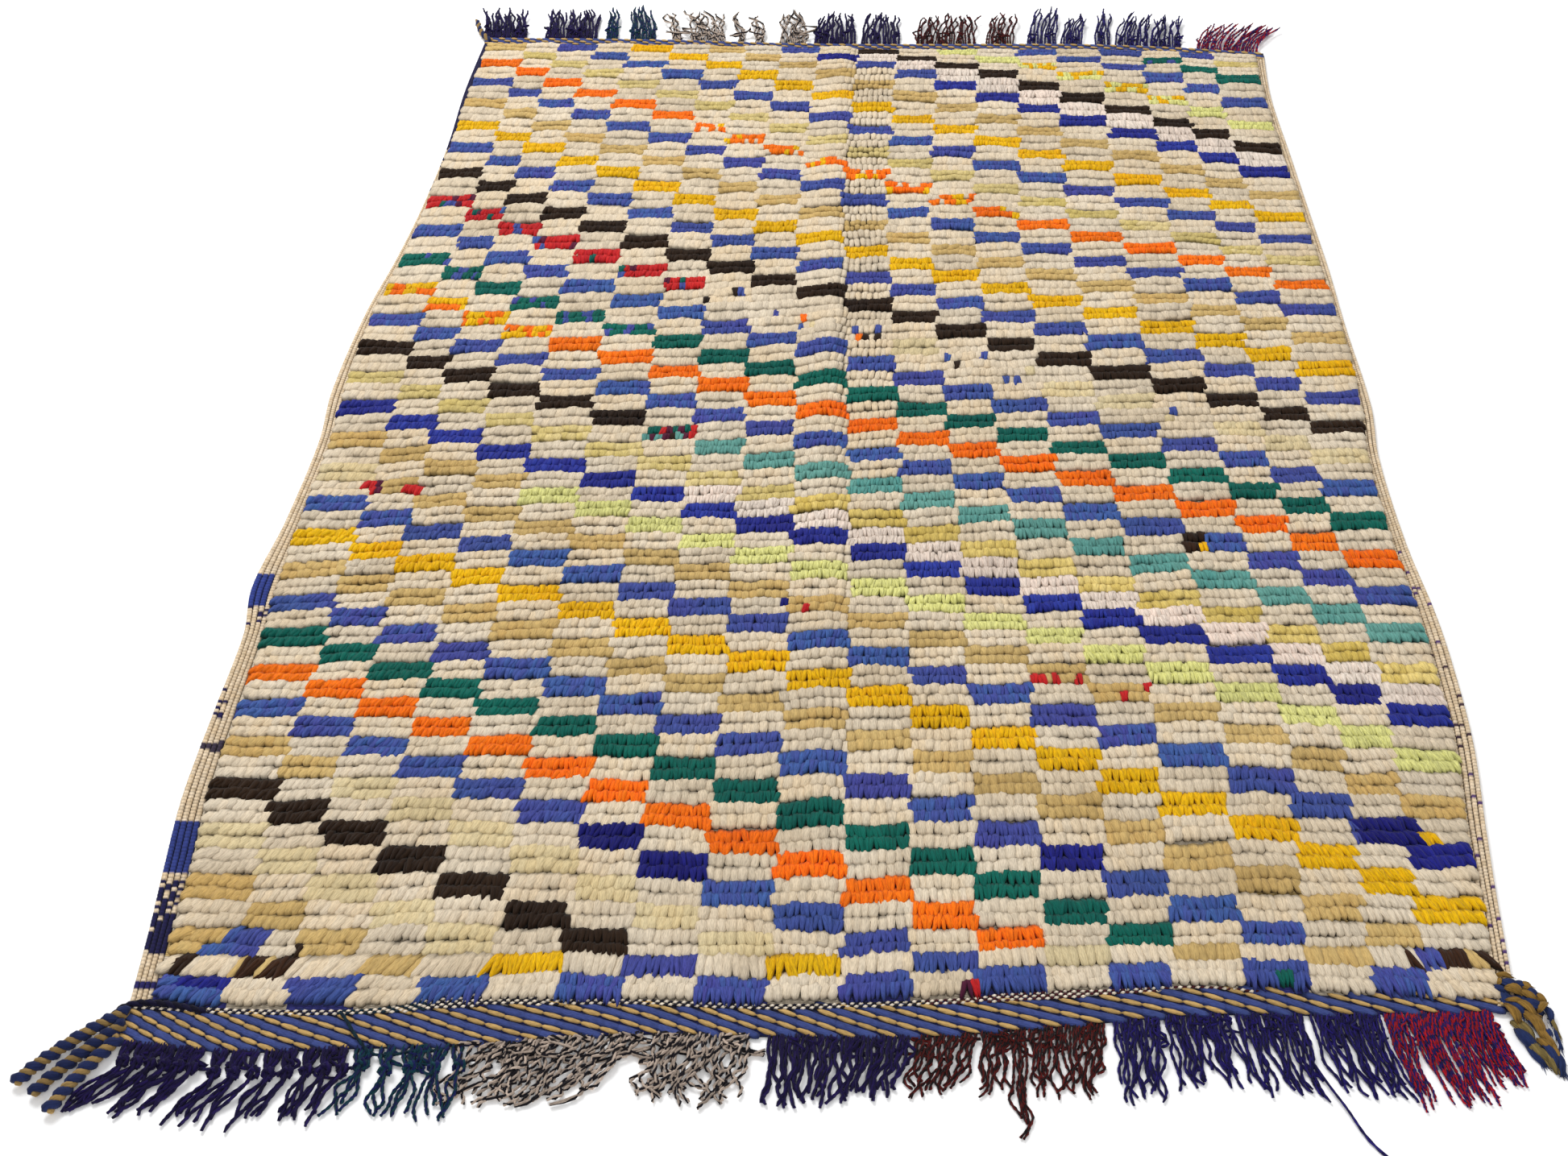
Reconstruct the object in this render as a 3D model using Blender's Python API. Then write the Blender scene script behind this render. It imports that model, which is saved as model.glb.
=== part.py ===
"""Hand-knotted checkerboard pile rug with twined end bands and long fringes, lying flat.

Metres, +Z up. The underside lies on z = 0, +Y runs along the rug towards its far end, and the
origin is the middle of the rug's four corners.
"""
import math
import random

import bmesh
import bpy
from mathutils import Vector, noise

# Driving dimensions
GAP = 0.0003
PILE_TOP = 0.0145
PILE_LUMP = 0.0022
LUMP_PITCH = 0.085
RIM_TOP = 0.0105
RIM_LUMP = 0.0009
RIM_NOTCH = 0.0035
RIM_PITCH = 0.027
SELVEDGE_TOP = 0.0062
SELVEDGE_GROOVE = 0.0040
SELVEDGE_CORDS = 3
BAND_TOP = 0.0066
BAND_GROOVE = 0.0046
NEAR_BAND_ROWS = 4
FAR_BAND_ROWS = 2
EDGE_WALL = 0.0028

# Steps of the pile slab: even ones on each half, and close ones over the fold
NEAR_START = -1.07
FAR_START = 1.06
EDGE_ROUNDS = 4
ROW_STEPS = 40
HALF_STEPS = 11
FOLD_START = 0.896
FOLD_STEPS = (0.930, 0.961, 0.986, 1.0)
AFTER_FOLD = 0.024

# Soft fold left down the middle by storing the rug doubled: a low ridge beside a valley
FOLD_REACH = 0.085
FOLD_CREST = 0.028
FOLD_VALLEY = 0.35
FOLD_RIGHT = 0.020
FOLD_COLUMNS = ("y", "crease", "ridge")
FOLD_ROWS = (
    (1.08, -0.018, 0.0040),
    (0.60, -0.012, 0.0040),
    (0.25, -0.007, 0.0060),
    (0.08, -0.004, 0.0095),
    (-0.10, 0.002, 0.0060),
    (-0.50, 0.015, 0.0040),
    (-1.10, 0.021, 0.0030),
)

# The long edges, which bow and scallop: outer edge of the selvedge and edge of the pile
SIDE_COLUMNS = ("y", "outer_left", "pile_left", "pile_right", "outer_right")
SIDE_ROWS = (
    (1.08, -0.724, -0.711, 0.712, 0.735),
    (0.90, -0.730, -0.715, 0.711, 0.727),
    (0.70, -0.727, -0.713, 0.714, 0.736),
    (0.50, -0.735, -0.719, 0.722, 0.745),
    (0.35, -0.748, -0.728, 0.728, 0.752),
    (0.20, -0.766, -0.744, 0.736, 0.755),
    (0.00, -0.775, -0.746, 0.738, 0.763),
    (-0.12, -0.767, -0.742, 0.733, 0.755),
    (-0.30, -0.774, -0.748, 0.741, 0.762),
    (-0.43, -0.787, -0.752, 0.750, 0.776),
    (-0.52, -0.775, -0.749, 0.753, 0.781),
    (-0.66, -0.777, -0.749, 0.754, 0.781),
    (-0.80, -0.778, -0.747, 0.743, 0.769),
    (-0.90, -0.770, -0.738, 0.739, 0.761),
    (-1.00, -0.760, -0.733, 0.733, 0.755),
    (-1.12, -0.751, -0.727, 0.727, 0.746),
)

# The short ends: edge of the pile and outer edge of the twined band
END_COLUMNS = ("x", "pile_near", "band_near", "pile_far", "band_far")
END_ROWS = (
    (-0.76, -1.103, -1.150, 1.078, 1.106),
    (-0.62, -1.108, -1.161, 1.073, 1.104),
    (-0.50, -1.105, -1.152, 1.073, 1.103),
    (-0.36, -1.091, -1.142, 1.068, 1.099),
    (-0.20, -1.085, -1.122, 1.062, 1.090),
    (-0.05, -1.083, -1.121, 1.056, 1.086),
    (0.10, -1.070, -1.119, 1.054, 1.086),
    (0.25, -1.056, -1.100, 1.056, 1.088),
    (0.40, -1.043, -1.078, 1.055, 1.088),
    (0.55, -1.040, -1.067, 1.050, 1.079),
    (0.68, -1.045, -1.065, 1.040, 1.064),
    (0.76, -1.045, -1.062, 1.034, 1.054),
)

# Fringe: yarns in clumps, each clump fanning from its roots on the band to its tips
STRAND_WIDTH = 0.0052
STRAND_HEIGHT = 0.0050
TIP_SHRINK = 0.62
STRAND_STEPS = 3
STRIP_DEPTH = 0.005
STRIP_TOP = 0.0050
STRIP_MARGIN = 0.0012
SWAY = 0.0035
SWAY_PITCH = 0.21
SWAY_TURN = 2.0
BEND_START = 1.6
AHEAD = 0.02
SHORTEST = 0.87
LONGEST = 1.04
CLUMP_COLUMNS = ("node", "root_from", "root_to", "tip_from", "tip_to", "reach", "strands")
NEAR_CLUMPS = (
    ("fringe_near_navy_left", -0.744, -0.668, -0.764, -0.690, 0.082, 8),
    ("fringe_near_navy_left", -0.645, -0.592, -0.680, -0.622, 0.098, 6),
    ("fringe_near_navy_left", -0.586, -0.552, -0.614, -0.578, 0.100, 4),
    ("fringe_near_navy_left", -0.546, -0.498, -0.560, -0.520, 0.096, 6),
    ("fringe_near_teal", -0.490, -0.470, -0.510, -0.484, 0.086, 2),
    ("fringe_near_teal", -0.464, -0.446, -0.470, -0.448, 0.104, 2),
    ("fringe_near_teal", -0.440, -0.374, -0.442, -0.377, 0.097, 7),
    ("fringe_near_marled", -0.366, -0.182, -0.370, -0.192, 0.078, 18),
    ("fringe_near_marled", -0.172, -0.066, -0.168, -0.070, 0.084, 10),
    ("fringe_near_navy_mid", -0.050, 0.020, -0.046, 0.010, 0.088, 7),
    ("fringe_near_navy_mid", 0.024, 0.102, 0.020, 0.080, 0.082, 8),
    ("fringe_near_maroon", 0.109, 0.174, 0.098, 0.152, 0.076, 7),
    ("fringe_near_maroon", 0.178, 0.208, 0.176, 0.205, 0.082, 3),
    ("fringe_near_maroon", 0.210, 0.226, 0.210, 0.226, 0.130, 2),
    ("fringe_near_maroon", 0.230, 0.312, 0.236, 0.304, 0.090, 8),
    ("fringe_near_indigo", 0.320, 0.370, 0.328, 0.366, 0.104, 5),
    ("fringe_near_indigo", 0.375, 0.444, 0.388, 0.462, 0.094, 8),
    ("fringe_near_indigo", 0.450, 0.524, 0.476, 0.524, 0.108, 7),
    ("fringe_near_indigo", 0.530, 0.604, 0.546, 0.608, 0.116, 7),
    ("fringe_near_red", 0.614, 0.642, 0.621, 0.642, 0.118, 3),
    ("fringe_near_red", 0.648, 0.728, 0.668, 0.728, 0.106, 8),
)
FAR_CLUMPS = (
    ("fringe_far_navy_left", -0.730, -0.646, -0.742, -0.660, 0.104, 9),
    ("fringe_far_navy_left", -0.611, -0.512, -0.617, -0.520, 0.108, 10),
    ("fringe_far_teal", -0.494, -0.472, -0.503, -0.479, 0.108, 3),
    ("fringe_far_teal", -0.448, -0.400, -0.461, -0.420, 0.118, 5),
    ("fringe_far_marled", -0.368, -0.352, -0.400, -0.382, 0.104, 2),
    ("fringe_far_marled", -0.332, -0.266, -0.350, -0.284, 0.110, 6),
    ("fringe_far_marled", -0.241, -0.231, -0.260, -0.250, 0.104, 1),
    ("fringe_far_marled", -0.210, -0.192, -0.227, -0.210, 0.098, 2),
    ("fringe_far_marled", -0.166, -0.114, -0.160, -0.124, 0.118, 4),
    ("fringe_far_navy_mid", -0.099, -0.019, -0.090, -0.024, 0.112, 7),
    ("fringe_far_navy_mid", -0.010, 0.062, 0.000, 0.058, 0.110, 6),
    ("fringe_far_maroon", 0.092, 0.206, 0.104, 0.213, 0.108, 11),
    ("fringe_far_maroon", 0.223, 0.276, 0.236, 0.286, 0.106, 5),
    ("fringe_far_indigo", 0.299, 0.355, 0.316, 0.370, 0.128, 5),
    ("fringe_far_indigo", 0.362, 0.404, 0.386, 0.420, 0.102, 4),
    ("fringe_far_indigo", 0.425, 0.456, 0.440, 0.466, 0.132, 3),
    ("fringe_far_indigo", 0.463, 0.584, 0.488, 0.600, 0.112, 12),
    ("fringe_far_red", 0.612, 0.724, 0.640, 0.784, 0.092, 11),
)

# Three thick twined tails at the near left corner: root height on the corner, middle and tip
TAIL_WIDTH = 0.0165
TAIL_HEIGHT = 0.0085
TAIL_CROWN = 0.7
TAIL_TIP = 0.8
TAIL_BLOCK = 0.012
TAIL_STEPS = 6
TAIL_COLUMNS = ("root_y", "middle_x", "middle_y", "tip_x", "tip_y")
TAIL_ROWS = (
    (-1.1105, -0.806, -1.152, -0.843, -1.205),
    (-1.1285, -0.790, -1.170, -0.820, -1.218),
    (-1.1465, -0.777, -1.186, -0.797, -1.238),
)

# Knotted bunch with frayed ends at the near right corner
KNOT_SIDES = 18
KNOT_HALF_WIDTH = 0.024
KNOT_HALF_LENGTH = 0.036
KNOT_LUMP = 0.14
KNOT_LOBES = 5
KNOT_TWIST = 4.0
KNOT_TOP = 0.021
# Each row: share of the knot's height, spread, share of the lumps
KNOT_RINGS = (
    (0.00, 0.90, 0.3),
    (0.28, 1.00, 1.0),
    (0.62, 0.97, 1.0),
    (0.88, 0.70, 1.0),
)
KNOT_CENTRE = (0.763, -1.054)
KNOT_CLEAR = 0.009
FRAY_STEPS = 3
FRAY_TIP = 0.45
# Each row: side of the knot, reach across, reach along
FRAY_ROWS = (
    (11, -0.004, -0.052),
    (13, 0.010, -0.048),
    (15, 0.010, -0.040),
)

# Wool colours, linear
ROUGHNESS = 0.95
SMOOTH_BELOW = math.radians(50)
COLOURS = {
    "pile_wool": (0.66, 0.58, 0.44),
    "beige_wrap": (0.52, 0.41, 0.31),
    "blue_twine": (0.07, 0.12, 0.30),
    "navy_yarn": (0.012, 0.008, 0.065),
    "teal_yarn": (0.015, 0.05, 0.11),
    "marled_yarn": (0.20, 0.16, 0.14),
    "maroon_yarn": (0.055, 0.012, 0.014),
    "indigo_yarn": (0.02, 0.014, 0.12),
    "red_yarn": (0.20, 0.02, 0.06),
}


def read_table(columns, rows):
    """Return each named column of a table as a list."""
    return {name: [row[place] for row in rows] for place, name in enumerate(columns)}


def smooth_value(places, values, at):
    """Return the value at a place on the smooth line through a table's column."""
    if places[0] > places[-1]:
        places = places[::-1]
        values = values[::-1]
    if at <= places[0]:
        return values[0]
    if at >= places[-1]:
        return values[-1]
    step = next(i for i in range(len(places) - 1) if at <= places[i + 1])
    span = places[step + 1] - places[step]
    before = max(step - 1, 0)
    after = min(step + 2, len(places) - 1)
    slope_in = (values[step + 1] - values[before]) / (places[step + 1] - places[before])
    slope_out = (values[after] - values[step]) / (places[after] - places[step])
    t = (at - places[step]) / span
    rise = values[step + 1] - values[step]
    cubic = (slope_in + slope_out) * span - 2 * rise
    square = 3 * rise - (2 * slope_in + slope_out) * span
    return values[step] + slope_in * span * t + square * t ** 2 + cubic * t ** 3


SIDES = read_table(SIDE_COLUMNS, SIDE_ROWS)
ENDS = read_table(END_COLUMNS, END_ROWS)
FOLDS = read_table(FOLD_COLUMNS, FOLD_ROWS)


def side_x(name, y):
    return smooth_value(SIDES["y"], SIDES[name], y)


def end_y(name, x):
    return smooth_value(ENDS["x"], ENDS[name], x)


def mix(low, high, part):
    return low + (high - low) * part


def wool_material(name):
    """Make a matt wool material in one of the yarn colours."""
    material = bpy.data.materials.new(name)
    material.use_nodes = True
    shader = material.node_tree.nodes["Principled BSDF"]
    shader.inputs["Base Color"].default_value = (*COLOURS[name], 1.0)
    shader.inputs["Roughness"].default_value = ROUGHNESS
    shader.inputs["Metallic"].default_value = 0.0
    material.diffuse_color = (*COLOURS[name], 1.0)
    return material


def add_object(name, form, material):
    """Turn a bmesh into a named, smooth-shaded object with its faces pointing out."""
    bmesh.ops.triangulate(form, faces=form.faces[:])
    bmesh.ops.recalc_face_normals(form, faces=form.faces[:])
    mesh = bpy.data.meshes.new(name)
    form.to_mesh(mesh)
    form.free()
    mesh.shade_smooth()
    mesh.set_sharp_from_angle(angle=SMOOTH_BELOW)
    mesh.materials.append(material)
    item = bpy.data.objects.new(name, mesh)
    bpy.context.scene.collection.objects.link(item)
    return item


def extend(form, ring, following):
    """Join a ring of vertices to the next one, and return the next one."""
    for side in range(len(ring)):
        after = (side + 1) % len(ring)
        form.faces.new((ring[side], ring[after], following[after], following[side]))
    return following


def loft(form, rings):
    """Join rings of vertices, one after another, and close both ends."""
    for ring, following in zip(rings, rings[1:]):
        extend(form, ring, following)
    form.faces.new(rings[0][::-1])
    form.faces.new(rings[-1])


def bumps(x, y, pitch, layer):
    """Smooth uneven value between -1 and 1 over the floor."""
    return noise.noise(Vector((x / pitch, y / pitch, layer)))


# The grid shared by the pile, the selvedges and the end bands

def across_steps():
    """Steps across the pile: negative ones left of the crease, positive ones right of it."""
    left = [FOLD_START * step / HALF_STEPS for step in range(HALF_STEPS + 1)]
    left += FOLD_STEPS
    right = [mix(AFTER_FOLD, 1.0, step / HALF_STEPS) for step in range(HALF_STEPS + 1)]
    return [part - 1.0 for part in left] + right


def pile_point(across, along):
    """Return the point at a step across and a share of the length, on the smooth outline."""
    y = mix(NEAR_START, FAR_START, along)
    for _ in range(EDGE_ROUNDS):
        crease = smooth_value(FOLDS["y"], FOLDS["crease"], y)
        if across < 0:
            x = mix(crease, side_x("pile_left", y), -across)
        else:
            x = mix(crease, side_x("pile_right", y), across)
        y = mix(end_y("pile_near", x), end_y("pile_far", x), along)
    return x, y


def outer_corner(side, along):
    """Return where the selvedge's outer edge meets an end of the pile."""
    y = FAR_START if along else NEAR_START
    edge = "pile_far" if along else "pile_near"
    for _ in range(EDGE_ROUNDS):
        x = side_x("outer_" + side, y)
        y = end_y(edge, x)
    return x, y


def fold_height(x, y):
    """Height that the ridge adds, and the valley takes away, beside the crease."""
    away = x - smooth_value(FOLDS["y"], FOLDS["crease"], y)
    ridge = smooth_value(FOLDS["y"], FOLDS["ridge"], y)
    if away <= -FOLD_REACH or away >= FOLD_RIGHT:
        return 0.0
    if away < -FOLD_CREST:
        part = (away + FOLD_REACH) / (FOLD_REACH - FOLD_CREST)
        return ridge * 0.5 * (1 - math.cos(math.pi * part))
    if away < 0:
        part = (away + FOLD_CREST) / FOLD_CREST
        return ridge * mix(1.0, -FOLD_VALLEY, part ** 2)
    return -ridge * FOLD_VALLEY * (1 - away / FOLD_RIGHT)


def pile_height(x, y):
    """Height of the lumpy pile."""
    return PILE_TOP + PILE_LUMP * bumps(x, y, LUMP_PITCH, 0.5) + fold_height(x, y)


def rim_point(x, y, along, across, drawn_in):
    """Return a point of the rim: every other lock is drawn in from the smooth outline."""
    notch = drawn_in * RIM_NOTCH * (0.5 + 0.5 * bumps(x, y, RIM_PITCH, 4.5))
    if abs(across) == 1.0:
        x -= notch * across
    if along in (0.0, 1.0):
        y += notch * (1.0 - 2.0 * along)
    return x, y, RIM_TOP + RIM_LUMP * bumps(x, y, LUMP_PITCH, 2.5)


def build_pile():
    """Knotted pile and its ground weave: a lumpy slab with an uneven rim and a flat underside."""
    form = bmesh.new()
    steps = across_steps()
    last = len(steps) - 1
    grid = []
    for row in range(ROW_STEPS + 1):
        line = []
        along = row / ROW_STEPS
        for column, across in enumerate(steps):
            x, y = pile_point(across, along)
            z = pile_height(x, y)
            if along in (0.0, 1.0) or abs(across) == 1.0:
                x, y, z = rim_point(x, y, along, across, (row + column) % 2)
            line.append(form.verts.new((x, y, z)))
        grid.append(line)
    for row in range(ROW_STEPS):
        for column in range(last):
            near = grid[row]
            far = grid[row + 1]
            form.faces.new((near[column], near[column + 1], far[column + 1], far[column]))
    rim = grid[0] + [line[last] for line in grid[1:]]
    rim += grid[ROW_STEPS][last - 1::-1] + [line[0] for line in grid[-2:0:-1]]
    foot = [form.verts.new((vert.co.x, vert.co.y, 0.0)) for vert in rim]
    for place, vert in enumerate(rim):
        after = (place + 1) % len(rim)
        form.faces.new((rim[after], vert, foot[place], foot[after]))
    form.faces.new(foot[::-1])
    return add_object("pile_field", form, wool_material("pile_wool"))


def ridged_ring(form, inner, outer, ridges, top, groove):
    """Cross-section from an inner to an outer point: round ridges on a flat foot."""
    ring = [form.verts.new((*inner, 0.0))]
    ring.append(form.verts.new((*inner, EDGE_WALL)))
    for place in range(1, 2 * ridges):
        part = place / (2 * ridges)
        x = mix(inner[0], outer[0], part)
        y = mix(inner[1], outer[1], part)
        ring.append(form.verts.new((x, y, top if place % 2 else groove)))
    ring.append(form.verts.new((*outer, EDGE_WALL)))
    ring.append(form.verts.new((*outer, 0.0)))
    return ring


def build_selvedge(side):
    """Selvedge of weft-wrapped cords along one long edge."""
    form = bmesh.new()
    outward = -1 if side == "left" else 1
    rings = []
    for row in range(ROW_STEPS + 1):
        along = row / ROW_STEPS
        x, y = pile_point(outward, along)
        outer = (side_x("outer_" + side, y), y)
        if row in (0, ROW_STEPS):
            outer = outer_corner(side, along)
        inner = (x + outward * GAP, y)
        rings.append(ridged_ring(form, inner, outer, SELVEDGE_CORDS,
                                 SELVEDGE_TOP, SELVEDGE_GROOVE))
    loft(form, rings)
    return add_object("selvedge_" + side, form, wool_material("beige_wrap"))


def end_line(end):
    """Points along an end of the rug, corner to corner, where its band starts."""
    along = 0 if end == "near" else 1
    line = [outer_corner("left", along)]
    line += [pile_point(across, along) for across in across_steps()]
    line.append(outer_corner("right", along))
    return line


def band_edge(end):
    """Inner and outer edge of a band, as two lists of points."""
    outward = -1 if end == "near" else 1
    inner = [(x, y + outward * GAP) for x, y in end_line(end)]
    outer = [(x, end_y("band_" + end, x)) for x, y in inner]
    return inner, outer


def build_band(end, rows):
    """Twined band across one end."""
    form = bmesh.new()
    inner, outer = band_edge(end)
    rings = [ridged_ring(form, start, stop, rows, BAND_TOP, BAND_GROOVE)
             for start, stop in zip(inner, outer)]
    loft(form, rings)
    return add_object("band_" + end, form, wool_material("blue_twine"))


def on_line(line, x):
    """Return y at x on a line of straight runs."""
    for (x_from, y_from), (x_to, y_to) in zip(line, line[1:]):
        if x <= x_to:
            return mix(y_from, y_to, (x - x_from) / (x_to - x_from))
    return line[-1][1]


class Strand:
    """One fringe yarn: where it roots and the path that it takes over the floor."""

    def __init__(self, clump, place, draw):
        share = (place + 0.5) / clump["strands"]
        self.root = mix(clump["root_from"], clump["root_to"], share)
        self.tip = mix(clump["tip_from"], clump["tip_to"], share)
        self.reach = clump["reach"]
        self.length = self.reach * draw.uniform(SHORTEST, LONGEST)

    def point(self, part):
        """Return x and the distance from the band at a share of the yarn's length."""
        away = self.length * part
        flow = away / self.reach
        turn = 2 * math.pi * self.root / SWAY_PITCH + SWAY_TURN * flow
        sway = SWAY * flow ** 2 * math.sin(turn)
        bend = flow ** 2 * (BEND_START + (1 - BEND_START) * flow)
        return mix(self.root, self.tip, bend) + sway, away


def add_strand(form, strand, line, outward, root_ring):
    """Run a three-sided yarn from its root triangle to its tip."""
    ring = root_ring
    base = on_line(line, strand.root) + outward * (GAP + STRIP_DEPTH)
    for step in range(1, STRAND_STEPS + 1):
        part = step / STRAND_STEPS
        x, away = strand.point(part)
        x_before, away_before = strand.point(part - AHEAD)
        along = Vector((x - x_before, outward * (away - away_before))).normalized()
        size = mix(1.0, TIP_SHRINK, part)
        half = 0.5 * STRAND_WIDTH * size
        side = Vector((-along.y, along.x)) * half * -outward
        y = base + outward * away
        following = [
            form.verts.new((x - side.x, y - side.y, 0.0)),
            form.verts.new((x + side.x, y + side.y, 0.0)),
            form.verts.new((x, y, STRAND_HEIGHT * size)),
        ]
        ring = extend(form, ring, following)
    form.faces.new(ring)


def build_fringe(name, end, clumps, material):
    """One fringe: yarns rooted along a narrow strip beside the band."""
    draw = random.Random(name)
    strands = [Strand(clump, place, draw)
               for clump in clumps for place in range(clump["strands"])]
    outward = -1 if end == "near" else 1
    line = band_edge(end)[1]
    form = bmesh.new()

    def on_strip(x, depth, z):
        return form.verts.new((x, on_line(line, x) + outward * (GAP + depth), z))

    start = clumps[0]["root_from"] - STRIP_MARGIN
    stop = clumps[-1]["root_to"] + STRIP_MARGIN
    bends = [x for x, y in line if start < x < stop
             and all(abs(x - strand.root) > STRAND_WIDTH for strand in strands)]
    stations = sorted([strand.root for strand in strands] + bends)
    feet = [on_strip(start, STRIP_DEPTH, 0.0)]
    tops = [on_strip(start, STRIP_DEPTH, STRIP_TOP)]
    roots = []
    for x in stations:
        half = 0.0 if x in bends else 0.5 * STRAND_WIDTH
        left = on_strip(x - half, STRIP_DEPTH, 0.0)
        right = on_strip(x + half, STRIP_DEPTH, 0.0) if half else left
        peak = on_strip(x, STRIP_DEPTH, STRIP_TOP)
        form.faces.new((feet[-1], left, peak, tops[-1]))
        if half:
            roots.append((left, right, peak))
            feet.append(left)
        feet.append(right)
        tops.append(peak)
    feet.append(on_strip(stop, STRIP_DEPTH, 0.0))
    tops.append(on_strip(stop, STRIP_DEPTH, STRIP_TOP))
    form.faces.new((feet[-2], feet[-1], tops[-1], tops[-2]))
    backs = [(on_strip(x, 0.0, 0.0), on_strip(x, 0.0, STRIP_TOP))
             for x in (start, *stations, stop)]
    for place in range(len(backs) - 1):
        low, high = backs[place]
        low_after, high_after = backs[place + 1]
        form.faces.new((low, high, high_after, low_after))
        form.faces.new((tops[place], tops[place + 1], high_after, high))
    form.faces.new([low for low, high in backs] + feet[::-1])
    form.faces.new((feet[0], tops[0], backs[0][1], backs[0][0]))
    form.faces.new((feet[-1], tops[-1], backs[-1][1], backs[-1][0]))
    for strand, root in zip(strands, roots):
        add_strand(form, strand, line, outward, root)
    return add_object(name, form, material)


def build_fringes(end, rows, yarns):
    """All the fringes of one end, one for each dyed stretch of warp."""
    clumps = [dict(zip(CLUMP_COLUMNS, row)) for row in rows]
    for name in dict.fromkeys(clump["node"] for clump in clumps):
        own = [clump for clump in clumps if clump["node"] == name]
        yarn = next(colour for key, colour in yarns.items() if key in name)
        build_fringe(name, end, own, yarn)


def curve_point(root, middle, tip, part):
    """Point on the arc that starts at a root, is drawn to a middle and ends at a tip."""
    first = root.lerp(middle, part)
    return first.lerp(middle.lerp(tip, part), part)


def add_tail(form, tail, root, ring):
    """Sweep one thick tail from its root ring on the block to its tip."""
    middle = Vector((tail["middle_x"], tail["middle_y"]))
    tip = Vector((tail["tip_x"], tail["tip_y"]))
    for step in range(1, TAIL_STEPS + 1):
        part = step / TAIL_STEPS
        spot = curve_point(root, middle, tip, part)
        along = (spot - curve_point(root, middle, tip, part - AHEAD)).normalized()
        size = mix(1.0, TAIL_TIP, part)
        side = Vector((along.y, -along.x)) * 0.5 * TAIL_WIDTH * size
        following = [
            form.verts.new((*(spot + side), 0.0)),
            form.verts.new((*(spot - side), 0.0)),
            form.verts.new((*(spot - side * TAIL_CROWN), TAIL_HEIGHT * size)),
            form.verts.new((*(spot + side * TAIL_CROWN), TAIL_HEIGHT * size)),
        ]
        ring = extend(form, ring, following)
    form.faces.new(ring)


def build_tails():
    """Three thick twined tails, fused to one block at the near left corner."""
    form = bmesh.new()
    tails = [dict(zip(TAIL_COLUMNS, row)) for row in TAIL_ROWS]
    levels = [tail["root_y"] + edge * 0.5 * TAIL_WIDTH for tail in tails for edge in (1, -1)]
    x_right = outer_corner("left", 0)[0] - GAP
    x_left = x_right - TAIL_BLOCK
    sections = [[form.verts.new((x_right, y, 0.0)), form.verts.new((x_right, y, TAIL_HEIGHT)),
                 form.verts.new((x_left, y, TAIL_HEIGHT)), form.verts.new((x_left, y, 0.0))]
                for y in levels]
    for place, (section, following) in enumerate(zip(sections, sections[1:])):
        for corner in range(4):
            after = (corner + 1) % 4
            quad = (section[corner], section[after], following[after], following[corner])
            rooted = corner == 2 and place % 2 == 0
            if rooted:
                tail = tails[place // 2]
                root = Vector((x_left, tail["root_y"]))
                add_tail(form, tail, root, [section[3], following[3], following[2], section[2]])
            else:
                form.faces.new(quad)
    form.faces.new(sections[0][::-1])
    form.faces.new(sections[-1])
    return add_object("corner_tails", form, wool_material("blue_twine"))


def build_knot():
    """Bunch of knotted yarn ends at the near right corner, frayed on its near side."""
    form = bmesh.new()
    centre = Vector(KNOT_CENTRE)
    frays = {side: Vector((across, along)) for side, across, along in FRAY_ROWS}
    corner = Vector(outer_corner("right", 0))
    rings = []
    for level, spread, lumpy in KNOT_RINGS:
        ring = []
        for side in range(KNOT_SIDES):
            turn = 2 * math.pi * side / KNOT_SIDES
            wave = math.sin(KNOT_LOBES * turn + KNOT_TWIST * level)
            size = spread * (1 + KNOT_LUMP * lumpy * wave)
            x = centre.x + KNOT_HALF_WIDTH * size * math.cos(turn)
            y = centre.y + KNOT_HALF_LENGTH * size * math.sin(turn)
            beside = y > corner.y - KNOT_CLEAR
            wall = side_x("outer_right", y + KNOT_CLEAR) if beside else corner.x
            ring.append(form.verts.new((max(x, wall + GAP), y, KNOT_TOP * level)))
        rings.append(ring)
    form.faces.new(rings[0][::-1])
    for level, (ring, following) in enumerate(zip(rings, rings[1:])):
        for side in range(KNOT_SIDES):
            after = (side + 1) % KNOT_SIDES
            quad = (ring[side], ring[after], following[after], following[side])
            if level == 0 and side in frays:
                add_fray(form, quad, frays[side])
            else:
                form.faces.new(quad)
    top = form.verts.new((centre.x, centre.y, KNOT_TOP))
    for side in range(KNOT_SIDES):
        after = (side + 1) % KNOT_SIDES
        form.faces.new((rings[-1][side], rings[-1][after], top))
    return add_object("corner_knot", form, wool_material("blue_twine"))


def add_fray(form, quad, reach):
    """Frayed end that leaves one face of the knot and narrows over the floor."""
    middle = sum((vert.co for vert in quad), Vector()) / 4
    ring = list(quad)
    for step in range(1, FRAY_STEPS + 1):
        part = step / FRAY_STEPS
        size = mix(1.0, FRAY_TIP, part)
        shift = reach * part
        following = []
        for vert in quad:
            x = middle.x + (vert.co.x - middle.x) * size + shift.x
            y = middle.y + (vert.co.y - middle.y) * size + shift.y
            following.append(form.verts.new((x, y, vert.co.z * size)))
        ring = extend(form, ring, following)
    form.faces.new(ring)


def main():
    for item in list(bpy.data.objects):
        bpy.data.objects.remove(item, do_unlink=True)
    build_pile()
    build_selvedge("left")
    build_selvedge("right")
    build_band("near", NEAR_BAND_ROWS)
    build_band("far", FAR_BAND_ROWS)
    yarns = {key: wool_material(key + "_yarn")
             for key in ("navy", "teal", "marled", "maroon", "indigo", "red")}
    build_fringes("near", NEAR_CLUMPS, yarns)
    build_fringes("far", FAR_CLUMPS, yarns)
    build_tails()
    build_knot()


main()
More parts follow.
